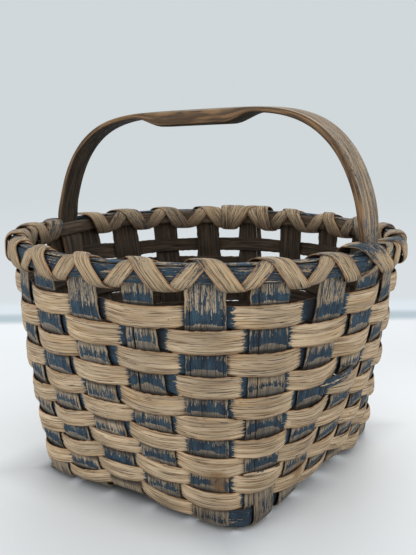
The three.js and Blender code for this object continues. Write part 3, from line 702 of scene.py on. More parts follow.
# Uprights and base strips
# sideways shifts near the top, as shares of the spacing, and widths near the top
LEAN = {1: -0.03, 2: -0.07, 3: -0.05, 6: 0.13, 7: 0.05}
TOP_WIDTH = {2: 24.5, 3: 21.0, 6: 24.0, 10: 22.5, 11: 22.0, 12: 22.0, 13: 21.5, 14: 22.0, 15: 22.5, 16: 23.0}
# splits in the uprights: where across, from and to which share of the height, how wide they open
SPLITS = {
    4: ((-0.76, 0.55, 1.1, 0.5), (-0.2, 0.62, 0.9, 0.25), (0.84, 0.5, 1.1, 0.3)),
    5: ((-0.55, -0.1, 1.1, 0.7), (-0.8, -0.1, 0.45, 0.4)),
    3: ((-0.48, 0.45, 0.9, 1.7), (0.66, 0.5, 1.1, 0.3)),
    2: ((-0.1, 0.8, 1.1, 0.3), (0.55, 0.75, 1.1, 0.45)),
    6: ((-0.8, 0.5, 1.1, 0.8), (0.1, 0.8, 1.0, 0.25)),
    7: ((0.3, 0.55, 1.1, 0.3),),
    0: ((0.2, 0.2, 0.8, 0.3),),
    9: ((-0.3, 0.4, 1.1, 0.4),),
    12: ((0.7, 0.3, 1.1, 0.5),),
    14: ((-0.6, 0.5, 1.1, 0.4),),
    18: ((0.4, 0.0, 0.7, 0.4),),
    20: ((-0.5, 0.4, 1.1, 0.4),),
}
WALL_STATIONS, TOP_STATIONS, BEND_STATIONS, BASE_STATIONS = 92, 5, 7, 90
WALL_N, FLAT_N = TOP_STATIONS + WALL_STATIONS, BEND_STATIONS * 2 + BASE_STATIONS
BELOW_HOOP, SPLIT_RAMP, SPLIT_LEAST = 1.4, 0.12, 0.02
# paint up a tall cell at the rim and up the other cells there, by shares of their height
TALL_PAINT = ((0, 0.2, 0.34, 0.8, 0.93), (0.9, 0.95, 0.42, 0.45, 0.85))
RIM_PAINT = ((0, 0.4, 1), (0.95, 1.0, 1.0))
# a cell taller than this is a tall one, and below this height the cells of these uprights are worn
TALL_CELL, WORN_LOW, WORN_UPRIGHTS = 22, 40, (19, 20, 21, 0, 1, 2)
CELL_MARGIN = 0.6
# painted shade at the lower and upper end of a cell, under the weavers, and how far it reaches
FOOT_SHADE, FOOT_REACH, HEAD_SHADE, HEAD_REACH = 0.88, 3.0, 0.8, 2.3
# painted shade towards the foot; where the front corner's darkening ends; most painted shade, also behind
# weavers
GROUND_SHADE, GROUND_REACH, CORNER_DARK_ENDS, MOST_SHADE = 0.32, 26, (120, 40), 0.85
# paint, darkening and bare band beneath the basket
BASE_LEVELS = (0.3, 0.3, 0.5)
# how far a weaver pushes an upright, how close to it, and from where and how slowly that ends at the rim
PUSH, PUSH_REACH, PUSH_ENDS = 0.7, 6.0, (158, 8)
# an upright is crowned; the missed one gives way at its split, below a height
UPRIGHT_CROWN, UPRIGHT_DOWN = 0.4, 0.25
MISSED_ENDS, MISSED_IN, MISSED_OUT, MISSED_SPLIT = (14, 6), -3.2, 0.8, -0.5
STRIP_COLS = 13


def upright_cells(k):
    """Exposed cells of upright k: bottom and top heights between the rows that pass outside it."""
    marks = [0.0]
    for r in range(ROWS):
        if pass_side(r, k) > 0:
            marks += list(ROW_EDGES[r:r + 2])
    marks.append(HOOP_TOP)
    return list(zip(marks[::2], marks[1::2]))


def upright_shade(k, z, c):
    """Paint, painted shade and bare band at points of upright k, from their heights and places across."""
    paint, shade_and_stain, band = np.full_like(z, 0.3), np.full_like(z, MOST_SHADE), np.zeros_like(z)
    g = np.random.default_rng(700 + k)
    for low, high in upright_cells(k):
        here = (z >= low - CELL_MARGIN) & (z <= high + CELL_MARGIN)
        t = (z - low) / max(high - low, 1)
        foot, arc, top = g.uniform(0.02, 0.14), g.uniform(0.2, 0.36), g.uniform(0.2, 0.8)
        middle = g.uniform(0.82, 1.08)
        worn = 0.25 * (g.uniform() < 0.25) + 0.42 * (low < 1)
        worn = worn + 0.25 * (high < WORN_LOW) * (k in WORN_UPRIGHTS)
        if high - low > TALL_CELL and high > TOP_Z:
            value = np.interp(t, *TALL_PAINT)
            foot, arc = 0.02, 0.05
        elif high > TOP_Z:
            value = np.interp(t, *RIM_PAINT)
        else:
            value = np.interp(t, (0, 0.55, 0.85, 1.0), (middle, middle, top, top * 0.8)) - worn
        boundary = foot + arc * np.clip(1 - c ** 2, 0, 1) ** 0.8
        bare = 1 - ease((t - boundary) / 0.06 + 0.5)
        # painted shade under the weavers at both ends of the cell and towards the foot; darker near the front
        # corner
        shade = FOOT_SHADE * (1 - ramp(z, low, FOOT_REACH)) + HEAD_SHADE * (1 - ease((high - z) / HEAD_REACH))
        shade = shade + GROUND_SHADE * (1 - ramp(z, LOW_FROM, GROUND_REACH))
        shade = shade + corner_dark(float(k)) * (1 - ramp(z, *CORNER_DARK_ENDS))
        paint = np.where(here, value - 0.5 * ramp(np.abs(c), 0.88, 0.1), paint)
        band = np.where(here, bare, band)
        shade_and_stain = np.where(here, np.clip(shade, 0, MOST_SHADE), shade_and_stain)
    return paint, shade_and_stain, band


def upright_half(k, w):
    top = TOP_WIDTH.get(k, UPRIGHT_WIDTH - 0.7)
    width = UPRIGHT_WIDTH + (top - UPRIGHT_WIDTH) * ramp(w, 0.35, 0.5)
    return width / 2 + 0.3 * waves(500 + k, 6, 1, 30)(w * 5)


def wall_shares():
    return np.concatenate([np.ones(TOP_STATIONS), np.linspace(1, 0, WALL_STATIONS)])


def upright_wall(k, c):
    """Points, normals and shading of upright k from its top down to the foot of the wall."""
    w = wall_shares()
    lift = np.zeros(WALL_N)
    lift[:TOP_STATIONS] = np.linspace(HOOP_TOP - BELOW_HOOP - TOP_Z, 0.5, TOP_STATIONS)
    pitch = wall_frame(np.full_like(w, k), w)[3]
    lean = LEAN.get(k, 0.0) * ramp(w, 0.45, 0.55)
    u = k + lean[:, None] + c * (upright_half(k, w) / pitch)[:, None]
    p, _, out, _ = wall_frame(u, np.broadcast_to(w[:, None], u.shape))
    p[..., 2] += lift[:, None]
    z = p[..., 2]
    push = np.zeros_like(z)
    for r in range(ROWS):
        push -= pass_side(r, k) * PUSH * np.exp(-((z - ROW_Z[r]) / PUSH_REACH) ** 2)
    push = push * (1 - ramp(z, *PUSH_ENDS)) + UPRIGHT_CROWN * (1 - c ** 2) - UPRIGHT_DOWN
    if k % COUNT == MISSED_UPRIGHT:
        way = np.where(c.mean(1, keepdims=True) < MISSED_SPLIT, MISSED_IN, MISSED_OUT)
        push = push + (1 - ramp(z, *MISSED_ENDS)) * way
    return (p + out * push[..., None], out, *upright_shade(k, z, c))


def base_flat(is_long, n, c):
    """Points of a base strip, woven over and under the others, with normals that point down."""
    own, line = (line_x(n), line_y) if is_long else (line_y(n), line_x)
    at = line(np.arange(CROSS if is_long else LONG))
    over = np.where((np.arange(len(at)) + n) % 2 == 0, 1, -1) * (1 if is_long else -1)
    z = BASE_MID + (rise_at(own, at) if is_long else rise_at(at, own)) + over * STACK / 2
    reach = UPRIGHT_WIDTH / 2 + MARGIN
    flats = np.stack([at - reach, at, at + reach], -1).ravel()
    run = np.linspace(flats[0], flats[-1], BASE_STATIONS)
    across = own + c * UPRIGHT_WIDTH / 2
    run, z = (np.broadcast_to(v[:, None], c.shape) for v in (run, np.interp(run, flats, np.repeat(z, 3))))
    x, y = (across, run) if is_long else (run, across)
    mid = np.stack([x + SHIFT_X, y + SHIFT_Y, z], -1)
    return mid, np.broadcast_to(np.array([0, 0, -1.0]), mid.shape)


def bend(a, b, pull=0.36):
    """A smooth turn from the last section of a to the first section of b."""
    (mid_a, normal_a), (mid_b, normal_b) = a, b
    p0, p3 = mid_a[-1], mid_b[0]
    t0, t3 = unit(mid_a[-1] - mid_a[-2]), unit(mid_b[1] - mid_b[0])
    reach = np.linalg.norm(p3 - p0, axis=-1, keepdims=True)
    p1, p2 = p0 + t0 * reach * pull, p3 - t3 * reach * pull
    t = np.linspace(0, 1, BEND_STATIONS + 2)[1:-1, None, None]
    mid = (1 - t) ** 3 * p0 + 3 * (1 - t) ** 2 * t * p1 + 3 * (1 - t) * t ** 2 * p2 + t ** 3 * p3
    mid[..., 2] = np.maximum(mid[..., 2], min(p0[:, 2].min(), p3[:, 2].min()))
    return mid, unit(normal_a[-1] * (1 - t) + normal_b[0] * t)


def strip_splits(start, end):
    """Splits of a strip in its own across coordinate, with how far each opens at both of its uprights."""
    w = wall_shares()
    rest = np.zeros(WALL_N + FLAT_N)
    found = []
    for k, flipped in ((start, False), (end, True)):
        for place, low, high, gap in SPLITS.get(k % COUNT, ()):
            opening = gap * ramp(w, low, SPLIT_RAMP) * ease((high - w) / SPLIT_RAMP)
            whole = np.concatenate([rest, opening[::-1]]) if flipped else np.concatenate([opening, rest])
            found.append((-place if flipped else place, whole))
    return sorted(found, key=lambda s: s[0])


def strip(is_long, n):
    """A strip that runs beneath the basket and up both sides, in as many pieces as its splits leave."""
    start = n if is_long else COUNT - 1 - n
    end = 2 * LONG + CROSS - 1 - n if is_long else LONG + n
    shut = np.zeros(2 * WALL_N + FLAT_N)
    edges = [(-1.0, shut)] + strip_splits(start, end) + [(1.0, shut)]
    half = UPRIGHT_WIDTH / 2
    base_from = WALL_N + BEND_STATIONS
    pieces = []
    for e in range(len(edges) - 1):
        (lo, gap_lo), (hi, gap_hi) = edges[e], edges[e + 1]
        cols = max(3, int(round(STRIP_COLS * (hi - lo) / 2)) + 1)
        t = np.linspace(0, 1, cols)
        c_lo = lo + (gap_lo / 2 + (SPLIT_LEAST if e else 0)) / half
        c_hi = hi - (gap_hi / 2 + (SPLIT_LEAST if e < len(edges) - 2 else 0)) / half
        c = c_lo[:, None] * (1 - t) + c_hi[:, None] * t
        first = upright_wall(start, c[:WALL_N])
        second = [v[::-1] for v in upright_wall(end, -c[-WALL_N:][::-1])]
        flat = base_flat(is_long, n, c[base_from:base_from + BASE_STATIONS] * (1 if is_long else -1))
        parts = (first[:2], bend(first[:2], flat), flat, bend(flat, second[:2]), second[:2])
        mid, normal = (np.concatenate(p) for p in zip(*parts))
        paint, shade_and_stain, band = (
            np.concatenate([a, np.full((FLAT_N, cols), level), b])
            for a, level, b in zip(first[2:], BASE_LEVELS, second[2:])
        )
        length = run_along(mid.mean(1))[:, None]
        pieces.append((mid, unit(normal), length, c * half, paint, shade_and_stain, band, c))
    name = f"long_strip_{n + 1}" if is_long else f"cross_strip_{n + 1}"
    obj = splint_set(name + "_splint", pieces, UPRIGHT_THICK, 50 + 2.9 * n + (0 if is_long else 31))
    add(obj, name, upright_mat)


for i in range(LONG):
    strip(True, i)
for j in range(CROSS):
    strip(False, j)

# Rim hoops and filler
FOOT_ANGLES = [math.asin(HANDLE_Y / WALL_R), math.pi - math.asin(HANDLE_Y / WALL_R)]
FOOT_HALF = HANDLE_W / 2 / INNER_OUT
FOOT_FAR = abs(HANDLE_Y) + HANDLE_W / 2
FOOT_PLANE = math.sqrt(INNER_OUT ** 2 - FOOT_FAR ** 2)
FOOT_PUSH = INNER_OUT - FOOT_PLANE + NOTCH_T + CLEAR
PUSH_WHOLE, PUSH_FADES = 1.1, 1.9
FILL_W, FILL_T = 6.6, 1.5
HOOP_ROUND, HOOP_STATIONS, FILL_ROUND, FILL_STATIONS = 0.62, 360, 0.5, 200
SCARF, SEAM = 26.0, 2.0 / WALL_R
SECTION, RADIUS_WANDERS, RING_SWAYS = 20, 0.15, 0.25


def turn_between(a, b):
    return np.arctan2(np.sin(a - b), np.cos(a - b))


def foot_push(angle, spread=0.0):
    """How far the inner hoop is pushed in where it goes round the handle's feet."""
    near = np.min([np.abs(turn_between(angle, a)) for a in FOOT_ANGLES], axis=0) - spread
    return FOOT_PUSH * (1 - ramp(near, PUSH_WHOLE * FOOT_HALF, PUSH_FADES * FOOT_HALF))


def ring(name, node, radii, heights, ends, seed, paint, power, count, pushed=False, scarf=0.0):
    """A bent strip of wood round the rim, of rounded section."""
    (inside, outside), (low, high) = radii, heights
    angle = np.linspace(*ends, count)
    t = np.linspace(0, 2 * math.pi, SECTION + 1)[:-1]
    cx, cz = rounded(t, power)
    push = foot_push(angle) if pushed else np.zeros_like(angle)
    middle = (inside + outside) / 2
    a = angle[:, None] + cx * scarf / middle
    wander, sway = RADIUS_WANDERS * waves(seed)(angle), RING_SWAYS * waves(seed + 1, 6, 3, 20)(angle)
    r = middle - push[:, None] + cx * (outside - inside) / 2 + wander[:, None]
    z = (low + high) / 2 + cz * (high - low) / 2 + sway[:, None]
    points = np.stack([r * np.cos(a), r * np.sin(a), z], -1)
    length, girth = (angle * WALL_R)[:, None], t * (high - low) / 2.2
    values = surface(r.shape, length, girth, seed, 0.0, -1.0 if pushed else 1.0, 0.0, paint, 0.0)
    add(build(name, points.reshape(-1, 3), tube_faces(*r.shape), values), node, rim_mat)


def seam_ends(upright):
    """Where a hoop starts and ends, with its seam at an upright."""
    seam = rim_angle(upright)
    return seam + SEAM / 2, seam + 2 * math.pi - SEAM / 2


ring("outer_hoop", "rim_hoop_outer", (OUTER_IN, OUTER_IN + OUTER_THICK), (TOP_Z, HOOP_TOP),
     seam_ends(2 * LONG + CROSS - 2), 21, 0.66, HOOP_ROUND, HOOP_STATIONS, scarf=SCARF)
ring("inner_hoop", "rim_hoop_inner", (INNER_OUT - INNER_THICK, INNER_OUT), (TOP_Z, HOOP_TOP),
     seam_ends(LONG + CROSS + 1), 23, 0.2, HOOP_ROUND, HOOP_STATIONS, pushed=True)
fill_gap = FOOT_HALF + 5 * CLEAR / WALL_R
for node, a, b, seed in (
    ("rim_filler_back", FOOT_ANGLES[0], FOOT_ANGLES[1], 31),
    ("rim_filler_front", FOOT_ANGLES[1], FOOT_ANGLES[0] + 2 * math.pi, 33),
):
    ring(node + "_splint", node, (WALL_R - FILL_W / 2, WALL_R + FILL_W / 2),
         (HOOP_TOP + CLEAR, HOOP_TOP + CLEAR + FILL_T), (a + fill_gap, b - fill_gap), seed, 0.5, FILL_ROUND,
         FILL_STATIONS)

# Lashing
LASH_T, LASH_W, LASH_COLS = 1.0, 15.2, 9
LASH_OUT = OUTER_IN + OUTER_THICK
LASH_IN = INNER_OUT - INNER_THICK
LASH_TOP = HOOP_TOP + CLEAR + FILL_T
LASH_DROP, LASH_TURN, LEAST_ROOM = 2.2, 3.4, 6.0
FOOT_KEEP = 0.055 * PITCH_ANGLE
LAYER_STEP, CLOSE_BY = 1.3, 0.3
# the strand over the handle's right foot: how many times wider, and how far off the rim in mm
FOOT_WIDER, FOOT_LIFT = 1.34, 2.8
# the lashing is wider at the right and at the left: where round the rim, how widely, by which share
WIDE_AT, WIDE_STRETCH, WIDE_BY = (math.radians(38), math.radians(-145)), 0.5, 0.22
WIDTH_VARIES_BY, PAINT_VARIES_BY, STRAND_LIFTS, STRAND_LEANS = 0.08, 0.1, 0.35, 0.35
# painted shade where a strand turns under the hoops, and a brown stain on its inner side
STRAND_CROWN, UNDER_LASH_SHADE, INNER_LASH_STAIN = 0.45, 0.45, 0.85


def top_angle(k, direction):
    """Where a strand crosses the top of the rim: at upright k, or beside a foot of the handle."""
    angle = rim_angle(k)
    keep = FOOT_HALF + (LASH_W / 2 + 5 * CLEAR) / WALL_R + FOOT_KEEP
    for foot in FOOT_ANGLES:
        if abs(turn_between(angle, foot)) < keep:
            return foot - direction * keep
    return angle


def gap_place(k):
    """Middle and width of the room for a strand between uprights k and k + 1, or None if there is none."""
    middle = rim_angle(k + 0.5)
    half = PITCH_ANGLE / 2 - (UPRIGHT_WIDTH / 2 + 1.2 * CLEAR) / WALL_R
    low, high = middle - half, middle + half
    for foot in FOOT_ANGLES:
        away = turn_between(foot, middle)
        reach = FOOT_HALF + 1.5 * CLEAR / WALL_R
        below, above = away - reach + half, half - away - reach
        if max(below, above) < 2 * half:
            if below > above:
                high = middle - half + below
            else:
                low = middle + half - above
    room = (high - low) * WALL_R
    return None if room < LEAST_ROOM else ((low + high) / 2, min(LASH_W, room))


def lash_stops(direction, first):
    """Each turn of a strand: where it crosses the top, the gap that it goes down, and its next top."""
    stops, k = [], first
    while abs(k - first) < COUNT:
        following = k + direction
        while gap_place(min(following, following - direction)) is None:
            following += direction
        gap = gap_place(min(following, following - direction))
        stops.append((top_angle(k, direction), gap, top_angle(following, direction)))
        k = following
    return stops


def lash_loop(stand):
    """Rounded loop round the hoops: r and z, outward r and z, and the share of the turn, 0 to 2."""
    outer, inner = LASH_OUT + stand, LASH_IN - stand
    top, bottom = LASH_TOP + stand, TOP_Z - stand - LASH_DROP
    turn = LASH_TURN + stand
    points, normals = [((outer + inner) / 2, top)], [(0.0, 1.0)]

    def arc(r, z, quarter):
        """A quarter turn, clockwise from so many quarters."""
        for a in np.linspace(quarter * math.pi / 2, (quarter - 1) * math.pi / 2, 7):
            points.append((r + turn * math.cos(a), z + turn * math.sin(a)))
            normals.append((math.cos(a), math.sin(a)))

    arc(outer - turn, top - turn, 1)
    high, low = points[-1], (outer, bottom + turn)
    for t in (0.33, 0.67):
        points.append((high[0] * (1 - t) + low[0] * t, high[1] * (1 - t) + low[1] * t))
        normals.append((1.0, 0.0))
    arc(outer - turn, bottom + turn, 0)
    half_at_index = len(points)
    points.append(((outer + inner) / 2, bottom))
    normals.append((0.0, -1.0))
    arc(inner + turn, bottom + turn, -1)
    arc(inner + turn, top - turn, -2)
    s = run_along(np.array(points + points[:1]))
    half_at = s[half_at_index]
    way = np.where(s <= half_at, s / half_at, 1 + (s - half_at) / (s[-1] - half_at))
    return np.array(points), np.array(normals), way[:-1]


def top_widths(stops, draws, wide_by, over_foot):
    """Width and lift of a strand each time that it crosses the top of the rim."""
    wides, lifts = [], []
    for top, draw in zip([stop[0] for stop in stops] + [stops[-1][2]], draws):
        crowd = max(math.exp(-((turn_between(top, side) / WIDE_STRETCH) ** 4)) for side in WIDE_AT)
        on_foot = over_foot and -PITCH_ANGLE < turn_between(top, FOOT_ANGLES[0]) < 0
        plain = LASH_W * wide_by * (1 + WIDTH_VARIES_BY * draw[0])
        wides.append(plain * (FOOT_WIDER if on_foot else 1 + WIDE_BY * crowd))
        lifts.append(FOOT_LIFT * on_foot)
    return wides, lifts


def lashing(name, node, stops, layer, seed, wide_by, bare, tucked=False):
    """A strand wound round the hoops, in the given layer, with its ends tucked in or not."""
    points, outward, way = lash_loop(CLOSE_BY + layer * LAYER_STEP + LASH_T / 2)
    c = np.linspace(-1, 1, LASH_COLS)
    draws = np.random.default_rng(seed).normal(size=(len(stops) + 1, 4))
    over_foot = node == "lashing_over"
    wides, lifts = top_widths(stops, draws, wide_by, over_foot)
    rows, normals, paints, shades_and_stains, halves = [], [], [], [], []
    for number, (top, (gap, room), following) in enumerate(stops):
        bias = PAINT_VARIES_BY * draws[number][1]
        lift, lean = STRAND_LIFTS * abs(draws[number][2]), STRAND_LEANS * draws[number][3]
        by_foot = over_foot and abs(turn_between(top, FOOT_ANGLES[0])) < PITCH_ANGLE
        for (r0, z0), (nr, nz), t in zip(points, outward, way):
            if tucked and (number == 0 and t < 1 or number == len(stops) - 1 and t > 1):
                continue
            angle = gap + float(turn_between(top if t <= 1 else following, gap)) * abs(1 - t)
            wide = wides[number] + (wides[number + 1] - wides[number]) * ramp(t, 1.2, 0.7)
            width = wide + (min(wide, room) - wide) * ease(1 - abs(1 - t) / 0.3)
            a = angle + c * (width / 2 / r0)
            push = foot_push(a, 0.5 * FOOT_HALF) * (1 if r0 < WALL_R else 0)
            proud = STRAND_CROWN * (1 - c ** 2) + lift * math.sin(math.pi * t) ** 2
            proud = proud + lean * c * math.sin(math.pi * min(t, 1))
            raised = lifts[number] * (1 - ease(t / 0.7)) + lifts[number + 1] * ramp(t, 1.4, 0.5)
            proud = proud + raised * max(nz, 0)
            r = r0 - push + nr * proud
            rows.append(np.stack([r * np.cos(a), r * np.sin(a), z0 + nz * proud], -1))
            normals.append(np.stack([nr * np.cos(a), nr * np.sin(a), np.full_like(a, nz)], -1))
            halves.append(c * width / 2)
            # painted shade low on the turn under the hoops, and a brown stain on the inner side
            under = ease((1 - abs(1 - t) - 0.55) / 0.4)
            inner = ramp(t, 1.02, 0.2) * (1 - ramp(t, 1.4, 0.25))
            worn = 0.1 * ease(abs(t - 0.5) / 0.5) + 0.12 * (1 - ease(t / 0.4)) if t < 1 else 0.06
            if by_foot:
                worn += 0.28 * (1 - ramp(t, 0.15, 0.3))
            paints.append(1.0 - bare + bias + worn + 0.16 * np.abs(c) ** 2)
            shades_and_stains.append([UNDER_LASH_SHADE * under - INNER_LASH_STAIN * inner])
    rows = np.array(rows)
    length = run_along(rows[:, LASH_COLS // 2])[:, None]
    obj = splint(name, rows, unit(np.array(normals)), LASH_T, length, np.array(halves), np.array(paints),
                 np.array(shades_and_stains), float(seed), 0.4)
    add(obj, node, lash_mat)


lashing("lashing_under_splint", "lashing_under", lash_stops(-1, LONG + CROSS + 2), 0, 61, 0.93, 0.74)
lashing("lashing_over_splint", "lashing_over", lash_stops(1, LONG + CROSS + 3), 1, 67, 1.06, 0.86)
# the close turns at the back, where the lashing was finished off over one upright
WRAP_AT, WRAP_SHARES = 14, (0.8, 0.53, 0.26, -0.01, -0.28, -0.5)
wrap_tops = [rim_angle(WRAP_AT + share) for share in WRAP_SHARES]
wrap_gaps = [gap_place(WRAP_AT + side) for side in (0, 0, 0, -1, -1)]
wraps = list(zip(wrap_tops, wrap_gaps, wrap_tops[1:]))
lashing("lashing_finish", None, wraps, 2, 71, 0.76, 0.86, tucked=True)

# Handle
TAIL_BELOW, TAIL_SLIMMER, BOW_ABOVE = 4, 0.3, 4
# the tails stay inside the solids' weavers: their offset and bulge, half their thickness, two clearances
TAIL_INSET = 1.96 + 1.1 + 0.6 + 2 * CLEAR
BOW_STATIONS, BOW_RING, BOW_ROUND, BOW_WANDERS = 61, 28, 0.42, 0.5
# the limbs' own width and thickness come in from this share of the reach, over this share
LIMB_FROM, LIMB_RAMP, LIMB_RISE = 0.35, 0.45, 0.2
# paint on the bow: everywhere, then more below each height, and over how much height
BOW_PAINT, BOW_PAINT_BELOW = 0.08, ((0.22, 272, 20), (0.2, 215, 30))


def wall_room(side, y, z):
    """How far out a tail can stand at a place inside the wall."""
    first, last = (LONG, LONG + CROSS - 1) if side > 0 else (2 * LONG + CROSS, COUNT - 1)
    u = np.linspace(first, last, 400)
    p, _, out, _ = wall_frame(u, np.full_like(u, w_of(z)))
    i = int(np.argmin(np.abs(p[:, 1] - y)))
    return side * p[i, 0] - TAIL_INSET / (side * out[i, 0])


def handle_side(side):
    """Stations of one limb from the end of its tail to the grip: x, z, thickness and width."""
    stations = []
    for s in np.linspace(1, 0, 9):
        z = TOP_Z - TAIL_BELOW - TAIL_LEN * s
        width = HANDLE_W * (1 - TAIL_SLIMMER * s)
        x = min(wall_room(side, HANDLE_Y + y, z) for y in (-width / 2, 0, width / 2))
        stations.append((x, z, NOTCH_T + (TAIL_T - NOTCH_T) * s, width))
    for z in np.linspace(TOP_Z + CLEAR, HOOP_TOP + FILL_T, 4):
        stations.append((FOOT_PLANE, z, NOTCH_T, HANDLE_W))
    base = HOOP_TOP + FILL_T + BOW_ABOVE
    for q in np.linspace(0, 1, BOW_STATIONS)[:-1]:
        t = math.pi / 2 * (1 - (1 - q) ** 2)
        reach = FOOT_PLANE * math.cos(t) ** (2 / SHOULDER_POWER)
        rise = math.sin(t) ** (2 / CROWN_POWER)
        z = base + (HANDLE_RISE - base + HOOP_TOP) * rise + HANDLE_TILT * side * reach / FOOT_PLANE * rise
        x = reach + side * HANDLE_LEAN * ease(rise / LEAN_SHARE)
        limb = ramp(reach / FOOT_PLANE, LIMB_FROM, LIMB_RAMP)
        plain = HANDLE_T + LIMB_THICKER[side] * limb
        thick = GRIP_T + (plain - GRIP_T) * ease((abs(side * x - GRIP_X) - GRIP_HALF) / GRIP_RAMP)
        stations.append((x, z, thick, HANDLE_W + LIMB_WIDER[side] * limb * ease(rise / LIMB_RISE)))
    return [(side * x, z, thick, width) for x, z, thick, width in stations]


def handle():
    crown = [(HANDLE_LEAN, HOOP_TOP + HANDLE_RISE, GRIP_T, HANDLE_W)]
    stations = np.array(handle_side(1) + crown + handle_side(-1)[::-1])
    travel = unit(np.gradient(stations[:, :2], axis=0))
    inward_x, inward_z = -travel[:, 1], travel[:, 0]
    t = np.linspace(0, 2 * math.pi, BOW_RING + 1)[:-1]
    cy, cd = rounded(t, BOW_ROUND)[0], rounded(t, BOW_ROUND * 1.1)[1]
    along = run_along(stations[:, :2])
    sway = BOW_WANDERS * waves(77, 5, 1, 7)(along / along[-1] * 2 * math.pi)
    x, z, thick, width = stations.T[..., None]
    depth = thick / 2 + cd * thick / 2
    y = HANDLE_Y + sway[:, None] + cy * width / 2
    points = np.stack([x + inward_x[:, None] * depth, y, z + inward_z[:, None] * depth], -1)
    face = np.where(cd < -0.75, 1.0, np.where(cd > 0.75, -1.0, 0.0))
    paint = BOW_PAINT + sum(more * ease((below - z) / reach) for more, below, reach in BOW_PAINT_BELOW)
    girth = cy * HANDLE_W / 2 + cd * 3.0
    values = surface(y.shape, along[:, None], girth, 91.0, cy, face, 0.0, paint, 0.0)
    obj = build("handle_bow", points.reshape(-1, 3), tube_faces(*y.shape), values)
    add(obj, "handle", handle_mat)


handle()

# Stage, light and camera, in metres
VIEW = math.radians(34.3)
LOOK = Vector((-math.sin(VIEW), math.cos(VIEW), 0))
FLOOR_HALF, FLOOR_DOWN = 8.0, 0.0003
# painted shade on the table: darker towards the camera and, far off, darker to one side
TABLE_NEAR_SHADED, TABLE_MIDDLE = (0.73, 0.742, 0.747), (0.88, 0.9, 0.905)
TABLE_FAR_SHADED = ((0.82, 0.838, 0.842), (0.7, 0.716, 0.722))
# a painted shadow on the table: darker close round the foot of the basket, and dark beneath it
STAND_HALF_X, STAND_HALF_Y, CONTACT_SHADOW_REACH = 0.084, 0.108, 0.045
CONTACT_SHADOW_COLOUR, SHADOW_BENEATH_COLOUR = (0.42, 0.43, 0.44), (0.12, 0.125, 0.13)
# the far edge of the table, where the backdrop starts, and the slope at which it is seen
EDGE_AT, EDGE_SLOPE, TABLE_EDGE_SOFT = 0.405, -0.043, 0.033
BACKDROP, BACKDROP_FAR = (0.7, 0.745, 0.77), (0.635, 0.685, 0.705)
EDGE_BAND, EDGE_LINE = (0.738, 0.815, 0.863), (0.5, 0.59, 0.64)
WORLD_LIGHT = (0.94, 0.97, 1.0)


def table_colour(g, x, y, depth, lateral):
    # painted shade: darker towards the camera and, far off, to one side
    table = g.mix(g.step(depth, -0.42, 0.05), TABLE_NEAR_SHADED, TABLE_MIDDLE)
    table = g.mix(g.step(depth, 0.05, 0.3), table, g.mix(g.step(lateral, -0.25, 0.3), *TABLE_FAR_SHADED))
    # painted contact shadow round the foot of the basket, and painted shadow beneath it
    outside = g.math("MAXIMUM", g.add(g.size(x), -STAND_HALF_X), g.add(g.size(y), -STAND_HALF_Y))
    close = g.rest(g.step(outside, 0.0, CONTACT_SHADOW_REACH))
    table = g.mix(g.mul(close, 0.55), table, CONTACT_SHADOW_COLOUR)
    beneath = g.rest(g.step(outside, -0.012, 0.008))
    return g.mix(g.mul(beneath, 0.8), table, SHADOW_BENEATH_COLOUR)


def backdrop_colour(g, depth, edge_depth):
    backdrop = g.mix(g.step(depth, EDGE_AT, 2.4), BACKDROP, BACKDROP_FAR)
    band = g.rest(g.step(edge_depth, EDGE_AT + 0.1, EDGE_AT + 0.16))
    line = g.rest(g.step(edge_depth, EDGE_AT + 0.047, EDGE_AT + 0.08))
    return g.mix(line, g.mix(band, backdrop, EDGE_BAND), EDGE_LINE)


def floor_material():
    mat = bpy.data.materials.new("floor")
    g = Graph(mat)
    x, y, _ = g.split(g.place())
    depth = g.add(g.mul(x, LOOK.x), g.mul(y, LOOK.y))
    lateral = g.add(g.mul(x, LOOK.y), g.mul(y, -LOOK.x))
    colour = table_colour(g, x, y, depth, lateral)
    table = g.node("BsdfPrincipled", {"Base Color": colour, "Roughness": 0.5, "Specular IOR Level": 0.2})
    # beyond the edge of the table the floor takes the backdrop's colour
    edge_depth = g.add(depth, g.mul(lateral, EDGE_SLOPE))
    beyond = g.step(edge_depth, EDGE_AT, EDGE_AT + TABLE_EDGE_SOFT)
    glow = g.node("Emission", {"Color": backdrop_colour(g, depth, edge_depth)})
    seen = g.math("MAXIMUM", *(g.node("LightPath", out=ray) for ray in ("Is Camera Ray", "Is Glossy Ray")))
    g.node("OutputMaterial", {"Surface": g.node("MixShader", {0: g.mul(beyond, seen), 1: table, 2: glow})})
    return mat


corners = [(x * FLOOR_HALF, y * FLOOR_HALF, 0) for x, y in ((-1, -1), (1, -1), (1, 1), (-1, 1))]
floor_mesh = bpy.data.meshes.new("floor")
floor_mesh.from_pydata(corners, [], [[0, 1, 2, 3]])
floor_mesh.materials.append(floor_material())
floor = bpy.data.objects.new("floor", floor_mesh)
floor.location.z = -FLOOR_DOWN
bpy.context.scene.collection.objects.link(floor)

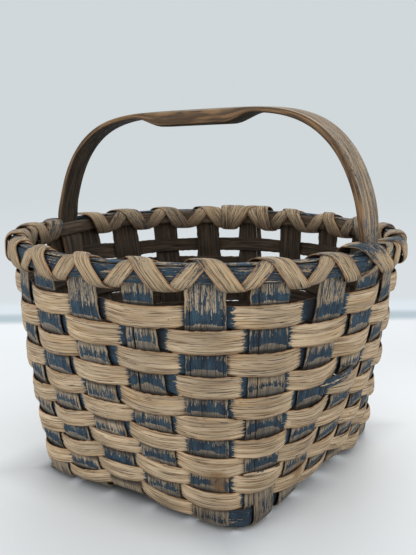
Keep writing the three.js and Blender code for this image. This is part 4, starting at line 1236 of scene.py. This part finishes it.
scene = bpy.context.scene
scene.world = bpy.data.worlds.new("studio")
g = Graph(scene.world)
lit, seen = (g.node("Background", {"Color": (*c, 1), "Strength": 1.0}) for c in (WORLD_LIGHT, BACKDROP_FAR))
shown = g.node("MixShader", {0: g.node("LightPath", out="Is Camera Ray"), 1: lit, 2: seen})
g.node("OutputWorld", {"Surface": shown})


def photo_point(right, away, height):
    """A place given as seen in the photograph: to the right, away from the camera and up."""
    side = Vector((math.cos(VIEW), math.sin(VIEW), 0))
    return side * right + LOOK * away + Vector((0, 0, height))


LAMP_AIM = Vector((0, 0, 0.1))
# lamps: place as seen in the photograph, size and power
LAMPS = {
    "key": ((0.9, -1.1, 0.5), 0.9, 2.4),
    "fill": ((-1.1, -1.0, 0.45), 0.9, 3.2),
    "back": ((0.4, 2.0, 1.05), 1.8, 11),
}
for name, (place, size, power) in LAMPS.items():
    data = bpy.data.lights.new(name, "AREA")
    data.shape = "DISK"
    data.size = size
    data.energy = power
    lamp = bpy.data.objects.new(name, data)
    lamp.location = photo_point(*place)
    lamp.rotation_euler = (LAMP_AIM - photo_point(*place)).to_track_quat("-Z", "Y").to_euler()
    lamp.visible_camera = False
    scene.collection.objects.link(lamp)

# the camera's place in mm, its pitch, and its focal length and the photograph's height in pixels
CAMERA_AT, PITCH_DOWN = (359.5, -524.6, 272.0), math.radians(11.34)
FOCAL, PHOTO_TALL, SENSOR = 804.0, 555.0, 36.0
camera_data = bpy.data.cameras.new("camera")
camera = bpy.data.objects.new("camera", camera_data)
scene.collection.objects.link(camera)
camera.location = Vector(CAMERA_AT) / 1000
forward = LOOK * math.cos(PITCH_DOWN) + Vector((0, 0, -math.sin(PITCH_DOWN)))
camera.rotation_euler = forward.to_track_quat("-Z", "Y").to_matrix().to_euler()
camera_data.sensor_fit = "AUTO"
camera_data.sensor_width = SENSOR
camera_data.lens = SENSOR * FOCAL / PHOTO_TALL
camera_data.clip_start = 0.01
camera_data.clip_end = 50
scene.camera = camera
scene.view_settings.view_transform = "Standard"
